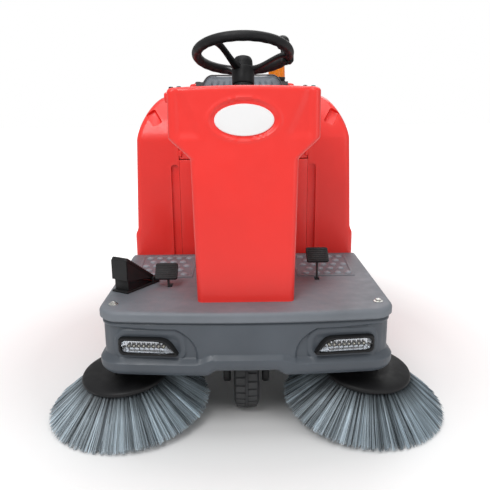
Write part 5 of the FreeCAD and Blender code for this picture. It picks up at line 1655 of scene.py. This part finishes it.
    def base(self) -> None:
        """Make the throttle's base with its two hinge cheeks, their pins and the spring box."""
        place = (Matrix.Translation((*self.heel[:2], 0.0))
                 @ spun(self.yaw, "Z"))
        floor = Bench.box("throttle_foot", (-0.0400, -0.135, 0.3952), (0.0400, 0.016, 0.4010))
        floor.push(lambda spot: spot.y < -0.1, lambda spot: Vector((spot.x * 0.78, spot.y, spot.z)))
        floor.soften(0.0018, 2)
        cheeks = []
        for side in SIDES:
            cheek = Bench.box("cheek", (side * 0.0352 - 0.0036, -0.016, 0.3952),
                              (side * 0.0352 + 0.0036, 0.016, 0.4200))
            cheek.bevel(lambda edge: all(vertex.co.z > 0.419 for vertex in edge.verts)
                        and abs(edge.verts[0].co.x - edge.verts[1].co.x) > 0.004, 0.010, 5)
            cheek.soften(0.0008, 1)
            pin = Bench.rod("pin", (side * 0.0392, 0, 0.411), 0.0052, 0.004, Axis.X, 24).soften(0.0006, 1)
            cheeks += [cheek, pin]
        box = Bench.box("spring_box", (-0.0265, -0.124, 0.4005), (0.0265, -0.018, 0.4370))
        box.push(lambda spot: spot.z > 0.43 and spot.y > -0.05, lambda spot: Vector((spot.x, spot.y, 0.4060)))
        box.inset(lambda face: abs(face.normal.x) > 0.9, 0.004, -0.0012)
        box.soften(0.0018, 2)
        floor.join(box, *cheeks)
        floor.turn(place).fit("root", "black_plastic", "throttle_base")

    def build(self) -> None:
        """Make the pedals."""
        self.throttle()
        self.base()
        self.lever("brake", "brake", "brake_pedal", (-0.243, -0.492, 0.362), 0.122, 42, -0.009)
        self.lever("flap", "flap_lever", "flap_pedal", (0.238, -0.492, 0.362), 0.190, 37)


# ------------------------------------------------------------------ side brushes


@dataclass
class SideBrush:
    """One side brush: a black disc with a rolled edge and rows of bristle tufts."""

    side: Side
    tufts: int = 72
    strands: int = 24
    tilt: float = 7.1
    lean: float = 33.0
    centre: Point = (0.373, -0.488, 0.0313)
    disc_fit: tuple[float, float] = (0.955, 0.0045)
    strand_radius: float = 0.00078
    rows: tuple[tuple[float, float, float, float], ...] = (
        (0.116, 0.113, 0.2530, 0.0012), (0.103, 0.111, 0.2400, 0.0006), (0.088, 0.110, 0.2220, 0.0006))

    def lay(self) -> Matrix:
        """Return the matrix that carries the brush from upright at the origin to its place."""
        sign = self.side.value
        x, y, z = self.centre
        heading = math.radians(self.lean)
        outward = Vector((sign * math.sin(heading), -math.cos(heading), 0.0))
        axis = outward.cross(Vector((0, 0, 1))).normalized()
        return (Matrix.Translation((sign * x, y, z))
                @ Matrix.Rotation(-math.radians(self.tilt), 4, axis))

    def strand(self) -> tuple[Bench, list[float]]:
        """Return one three-sided bristle along X from 0 to 1, with how far along each point is."""
        bristle = Bench.rod("strand", (0.5, 0, 0), 1.0, 1.0, Axis.X, 3, top=0.8)
        bristle.slice((0.5, 0, 0), (1, 0, 0))
        return bristle, [vertex.co.x for vertex in bristle.piece.data.vertices]

    def bristles(self) -> None:
        """Make the tufts of all rows as one mesh."""
        draw = random.Random(7 + self.side.value)
        bristle, along = self.strand()
        moves, tones = [], []
        for row, (root, height, tip, foot) in enumerate(self.rows):
            slope = math.atan2(foot - height, tip - root)
            length = math.hypot(foot - height, tip - root)
            for tuft in range(self.tufts):
                around = math.tau * (tuft + 0.5 * (row % 2)) / self.tufts + draw.uniform(-0.006, 0.006)
                depth = draw.uniform(-0.25, 0.25)
                for _ in range(self.strands):
                    spread = draw.gauss(0, 0.36)
                    sideways = max(-0.9, min(0.9, spread)) * math.tau / self.tufts * 0.72
                    start = Matrix.Rotation(around + sideways * 0.45, 4, "Z")
                    turn = Matrix.Rotation(sideways * 0.9 + draw.uniform(-0.012, 0.012), 4, "Z")
                    dip = Matrix.Rotation(-slope + draw.uniform(-0.028, 0.018), 4, "Y")
                    size = length * draw.uniform(0.955, 1.0)
                    thick = self.strand_radius * draw.uniform(0.8, 1.15)
                    moves.append(start @ Matrix.Translation((root + draw.uniform(-0.003, 0.003), 0, height))
                                 @ turn @ dip @ Matrix.Diagonal((size, thick, thick, 1.0)))
                    tones.append(max(0.0, min(1.0, 0.5 + depth + draw.uniform(-0.45, 0.45))))
        bristle.piece.name = f"side_bristles_{self.side.word}"
        lay = self.lay()
        bristle.copies([lay @ move for move in moves])
        mesh = bristle.piece.data
        for name, values in (("tone", [tone for tone in tones for _ in along]),
                             ("along", along * len(moves))):
            layer = mesh.attributes.new(name, "FLOAT", "POINT")
            layer.data.foreach_set("value", values)
        self.keep_above_floor(bristle)
        bristle.fit(f"brush_{self.side.word}", "side_bristle", f"side_brush_bristles_{self.side.word}")

    @staticmethod
    def keep_above_floor(bristle: Bench) -> None:
        """Lift any bristle end that would go under the floor."""
        bristle.push(lambda spot: spot.z < 0.0004, lambda spot: Vector((spot.x, spot.y, 0.0004)))

    def disc(self) -> None:
        """Make the disc: a dished plate with a rolled rim, a raised hub and bolts."""
        sign = self.side.word
        disc = turned(f"brush_disc_{sign}", ((0.060, 0.1085), (0.118, 0.1085), (0.1365, 0.1040),
                                             (0.1405, 0.1045),
                                             (0.1420, 0.1075), (0.1420, 0.1115), (0.1400, 0.1150),
                                             (0.1360, 0.1175), (0.127, 0.1205), (0.112, 0.1240),
                                             (0.080, 0.1255), (0.062, 0.1258), (0.058, 0.1275),
                                             (0.034, 0.1280), (0.0305, 0.1300), (0.0300, 0.1385),
                                             (0.0285, 0.1400), (0.012, 0.1400)), 96)
        bolt = Bench.rod("bolts", (0.046, 0, 0.1300), 0.0050, 0.0045, sides=6).soften(0.0006, 1)
        bolt.array(6)
        disc.join(bolt)
        share, lift = self.disc_fit
        disc.push(lambda spot: True, lambda spot: Vector((spot.x * share, spot.y * share, spot.z + lift)))
        disc.turn(self.lay()).fit(f"brush_{sign}", "black_plastic", f"side_brush_disc_{sign}")

    def build(self) -> None:
        """Make the brush."""
        self.bristles()
        self.disc()


# ------------------------------------------------------------------ wheels and fork


@dataclass
class Wheel:
    """A solid tyre with a lugged tread on a pressed rim."""

    name: str
    body: str
    centre: Point
    radius: float
    half: float
    rim: float
    lugs: int
    nodes: tuple[str, str]
    tread: float = 0.0045

    def tyre(self) -> None:
        """Make the tyre: carcass, centre rib and staggered shoulder lugs."""
        radius, half, rim = self.radius, self.half, self.rim
        base = radius - self.tread
        outline = [(rim, -half + 0.006), (rim + 0.004, -half + 0.002), (rim + 0.010, -half),
                   (base - 0.016, -half), (base - 0.007, -half + 0.0025), (base - 0.0015, -half + 0.008),
                   (base, -half + 0.014)]
        outline += [(reach, -across) for reach, across in outline[::-1]]
        tyre = hoop(self.name + "_tyre", outline, 96)
        rib = hoop("rib", ((base - 0.002, -0.0045), (radius - 0.0008, -0.0042), (radius, -0.0030),
                           (radius, 0.0030), (radius - 0.0008, 0.0042), (base - 0.002, 0.0045)), 96)
        pitch = math.tau / self.lugs
        pieces = [rib]
        for side in SIDES:
            span = half - 0.0085
            lug = Bench.box("lug", (base - 0.003, -radius * pitch * 0.39, 0.0045),
                            (radius, radius * pitch * 0.39, span))
            lug.push(lambda spot: spot.z > span - 0.001 and spot.x > base,
                     lambda spot: Vector((spot.x - 0.0028, spot.y, spot.z + 0.0030)))
            lug.soften(0.0012, 1)
            if side < 0:
                lug.turn(Matrix.Rotation(math.pi, 4, "X"))
            lug.turn(Matrix.Rotation(pitch * (0.25 + 0.5 * (side > 0)), 4, "Z"))
            lug.array(self.lugs)
            pieces.append(lug)
        tyre.join(*pieces)
        tyre.turn(Matrix.Translation(self.centre) @ ONTO_X)
        tyre.fit(self.body, "tyre_rubber", self.nodes[1])

    def disc(self) -> None:
        """Make the rim: flanges, dished disc, hub cap, hub and wheel nuts."""
        rim, half = self.rim, self.half
        ring = hoop(self.name + "_rim", ((rim - 0.0005, -half + 0.010), (rim + 0.0030, -half + 0.0045),
                                         (rim - 0.001, -half + 0.0035), (rim - 0.008, -half + 0.009),
                                         (rim - 0.008, half - 0.009), (rim - 0.001, half - 0.0035),
                                         (rim + 0.0030, half - 0.0045), (rim - 0.0005, half - 0.010)), 72)
        disc = turned("disc", ((rim - 0.0075, -0.004), (rim - 0.020, -0.006), (0.045, -0.020),
                               (0.034, -0.0215), (0.030, -0.030), (0.012, -0.031)), 72, caps=False)
        disc.join(turned("back", ((0.012, 0.028), (0.030, 0.027), (0.034, 0.0185), (0.045, 0.017),
                                  (rim - 0.020, 0.004), (rim - 0.0075, 0.002)), 72, caps=False))
        cap = turned("cap", ((0.0165, -0.0300), (0.0165, -0.0335), (0.013, -0.0365), (0.005, -0.0380)), 36)
        nut = Bench.rod("nuts", (0.040, 0, -0.0235), 0.0062, 0.0070, sides=6).soften(0.0008, 1)
        nut.array(5)
        hub = Bench.rod("hub", (0, 0, 0), 0.030, 0.055, sides=48).soften(0.002, 2)
        ring.join(disc, cap, nut, hub)
        outward = Matrix.Rotation(math.pi if self.centre[0] > 0 else 0.0, 4, "X")
        ring.turn(Matrix.Translation(self.centre) @ ONTO_X @ outward)
        ring.face_out().fit(self.body, "zinc_steel" if self.centre[0] else "black_steel", self.nodes[0])

    def build(self) -> None:
        """Make the wheel."""
        self.tyre()
        self.disc()


@dataclass
class Fork:
    """The front wheel's fork: a crown plate and two legs with round lower ends."""

    leg_x: float = 0.063
    axis_y: float = -0.443
    leg_half: tuple[float, float] = (0.0115, 0.024)
    foot_z: float = 0.104
    axle_z: float = 0.125
    crown: tuple[float, float, float] = (0.0755, 0.2622, 0.2798)
    edge: float = 0.005

    def build(self) -> None:
        """Make the fork, its stem and its axle nuts."""
        crown_x, crown_low, crown_high = self.crown
        half_x, half_y = self.leg_half
        back, ahead = self.axis_y - 0.030, self.axis_y + 0.030
        crown = Bench.box("fork_crown", (-crown_x, back, crown_low), (crown_x, ahead, crown_high))
        crown.soften(0.004, 3)
        parts = []
        for side in SIDES:
            spot = side * self.leg_x
            leg = Bench.box("leg", (spot - half_x, self.axis_y - half_y, 0.100),
                            (spot + half_x, self.axis_y + half_y, 0.2640))
            foot = Bench.rod("foot", (spot, self.axis_y, self.foot_z), half_y, 2 * half_x, Axis.X, 40)
            nut = Bench.rod("nut", (spot + side * 0.0150, self.axis_y, self.axle_z), 0.0105, 0.0075,
                            Axis.X, 6)
            axle = Bench.rod("axle", (spot * 0.78, self.axis_y, self.axle_z), 0.0078, 0.030, Axis.X, 24)
            parts += [leg.soften(self.edge, 4), foot.soften(self.edge, 4), nut.soften(0.0010, 1),
                      axle.soften(0.0006, 1)]
        stem = turned("stem", ((0.0280, 0.2795), (0.0280, 0.2900), (0.0174, 0.2915), (0.0174, 0.395),
                               (0.0150, 0.398)), 48)
        stem.turn(Matrix.Translation((0, self.axis_y, 0)))
        crown.join(stem, *parts)
        crown.fit("fork", "black_steel", "steering_fork")


# ------------------------------------------------------------------ studio and main


@dataclass
class Studio:
    """The pale floor, soft lamps and the camera."""

    place: Point = (-0.0125, -2.185, 0.9776)
    pitch: float = 14.16
    yaw: float = 0.40
    roll: float = -0.54
    lens: float = 42.63

    def camera(self) -> None:
        """Make the camera."""
        pitch, yaw, roll = (math.radians(value) for value in (self.pitch, self.yaw, self.roll))
        ahead = Vector((math.sin(yaw) * math.cos(pitch), math.cos(yaw) * math.cos(pitch), -math.sin(pitch)))
        right = Vector((math.cos(yaw), -math.sin(yaw), 0.0))
        upward = right.cross(ahead)
        across = right * math.cos(roll) + upward * math.sin(roll)
        upright = upward * math.cos(roll) - right * math.sin(roll)
        data = bpy.data.cameras.new("camera")
        data.lens, data.sensor_width, data.clip_start, data.clip_end = self.lens, 36.0, 0.05, 60.0
        camera = bpy.data.objects.new("camera", data)
        bpy.context.collection.objects.link(camera)
        camera.matrix_world = Matrix.Translation(self.place) @ Matrix(
            ((across.x, upright.x, -ahead.x), (across.y, upright.y, -ahead.y),
             (across.z, upright.z, -ahead.z))).to_4x4()
        bpy.context.scene.camera = camera

    @staticmethod
    def light(name: str, place: Point, aim: Point, size: float, power: float) -> None:
        """Add a square soft light."""
        data = bpy.data.lights.new(name, "AREA")
        data.shape, data.size, data.energy = "SQUARE", size, power
        lamp = bpy.data.objects.new(name, data)
        bpy.context.collection.objects.link(lamp)
        lamp.location = place
        lamp.rotation_euler = (Vector(aim) - Vector(place)).to_track_quat("-Z", "Y").to_euler()

    def build(self) -> None:
        """Make the studio."""
        self.camera()
        self.light("key", (-1.2, -2.6, 3.4), (0, -0.2, 0.4), 1.6, 62)
        self.light("fill", (2.4, -2.8, 1.6), (0, 0, 0.5), 2.2, 16)
        self.light("back", (0.8, 3.0, 3.2), (0, 0, 0.6), 2.4, 40)
        self.light("top", (0.0, -0.2, 3.6), (0, 0, 0), 2.4, 34)
        world = bpy.data.worlds.new("room")
        bpy.context.scene.world = world
        world.use_nodes = True
        tree = world.node_tree
        room = tree.nodes["Background"]
        room.inputs["Color"].default_value = (1.0, 1.0, 1.0, 1.0)
        seen = tree.nodes.new("ShaderNodeLightPath")
        span = tree.nodes.new("ShaderNodeMapRange")
        span.inputs["To Min"].default_value, span.inputs["To Max"].default_value = 0.50, 1.0
        tree.links.new(seen.outputs["Is Camera Ray"], span.inputs["Value"])
        tree.links.new(span.outputs["Result"], room.inputs["Strength"])
        bpy.context.scene.view_settings.view_transform = "Standard"
        ground = Bench.box("floor", (-14, -9, -0.02), (14, 19, -0.0008))
        ground.bevel(lambda edge: True, 0.01, 1)
        ground.paint("floor")


NODE_LOOKS = {
    "steering_column_tube": "black_plastic", "lower_skirts": "red_shell", "broom_bristles": "main_bristle",
    "batteries": "black_plastic", "broom_core": "black_plastic", "hopper_drawer": "bumper_grey",
    "ignition_key": "zinc_steel", "direction_rocker": "black_plastic", "horn_button": "button_green",
    "emergency_stop": "button_red", "front_flap": "tyre_rubber", "fan_impeller": "zinc_steel",
    "steering_shaft": "zinc_steel", "filter_and_fan_case": "deck_grey", "seat_frame": "black_steel",
}


def dress_plain_nodes() -> None:
    """Give every shown CAD node the finish of its slot."""
    looks = {name: NODE_LOOKS.get(name, "black_steel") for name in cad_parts}
    for name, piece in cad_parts.items():
        if not piece.hide_render:
            piece.data.materials.clear()
            piece.data.materials.append(finish(looks[name]))
            log.info("%s: kept, %s", name, looks[name])


def main() -> None:
    """Build every sub-assembly in order."""
    logging.basicConfig(level=logging.INFO, format="%(relativeCreated)6.0f ms %(message)s")
    Studio().build()
    for part in (Deck(), Bumper(), LampUnit(), Console(), Body(), Steering(),
                 Seat(), Beacon(), Pedals(), SideBrush(Side.RIGHT), SideBrush(Side.LEFT),
                 Fork(),
                 Wheel("front", "front_wheel", (0.0, -0.443, 0.125), 0.125, 0.039, 0.088, 29,
                       ("front_wheel_rim", "front_tyre")),
                 Wheel("rear_right", "rear_wheel_right", (-0.352, 0.430, 0.150), 0.150, 0.042, 0.098, 32,
                       ("rear_rim_right", "rear_tyre_right")),
                 Wheel("rear_left", "rear_wheel_left", (0.352, 0.430, 0.150), 0.150, 0.042, 0.098, 32,
                       ("rear_rim_left", "rear_tyre_left"))):
        part.build()
        log.info("%s done", type(part).__name__)
    dress_plain_nodes()


if __name__ == "__main__":
    main()
    Bench.clear()
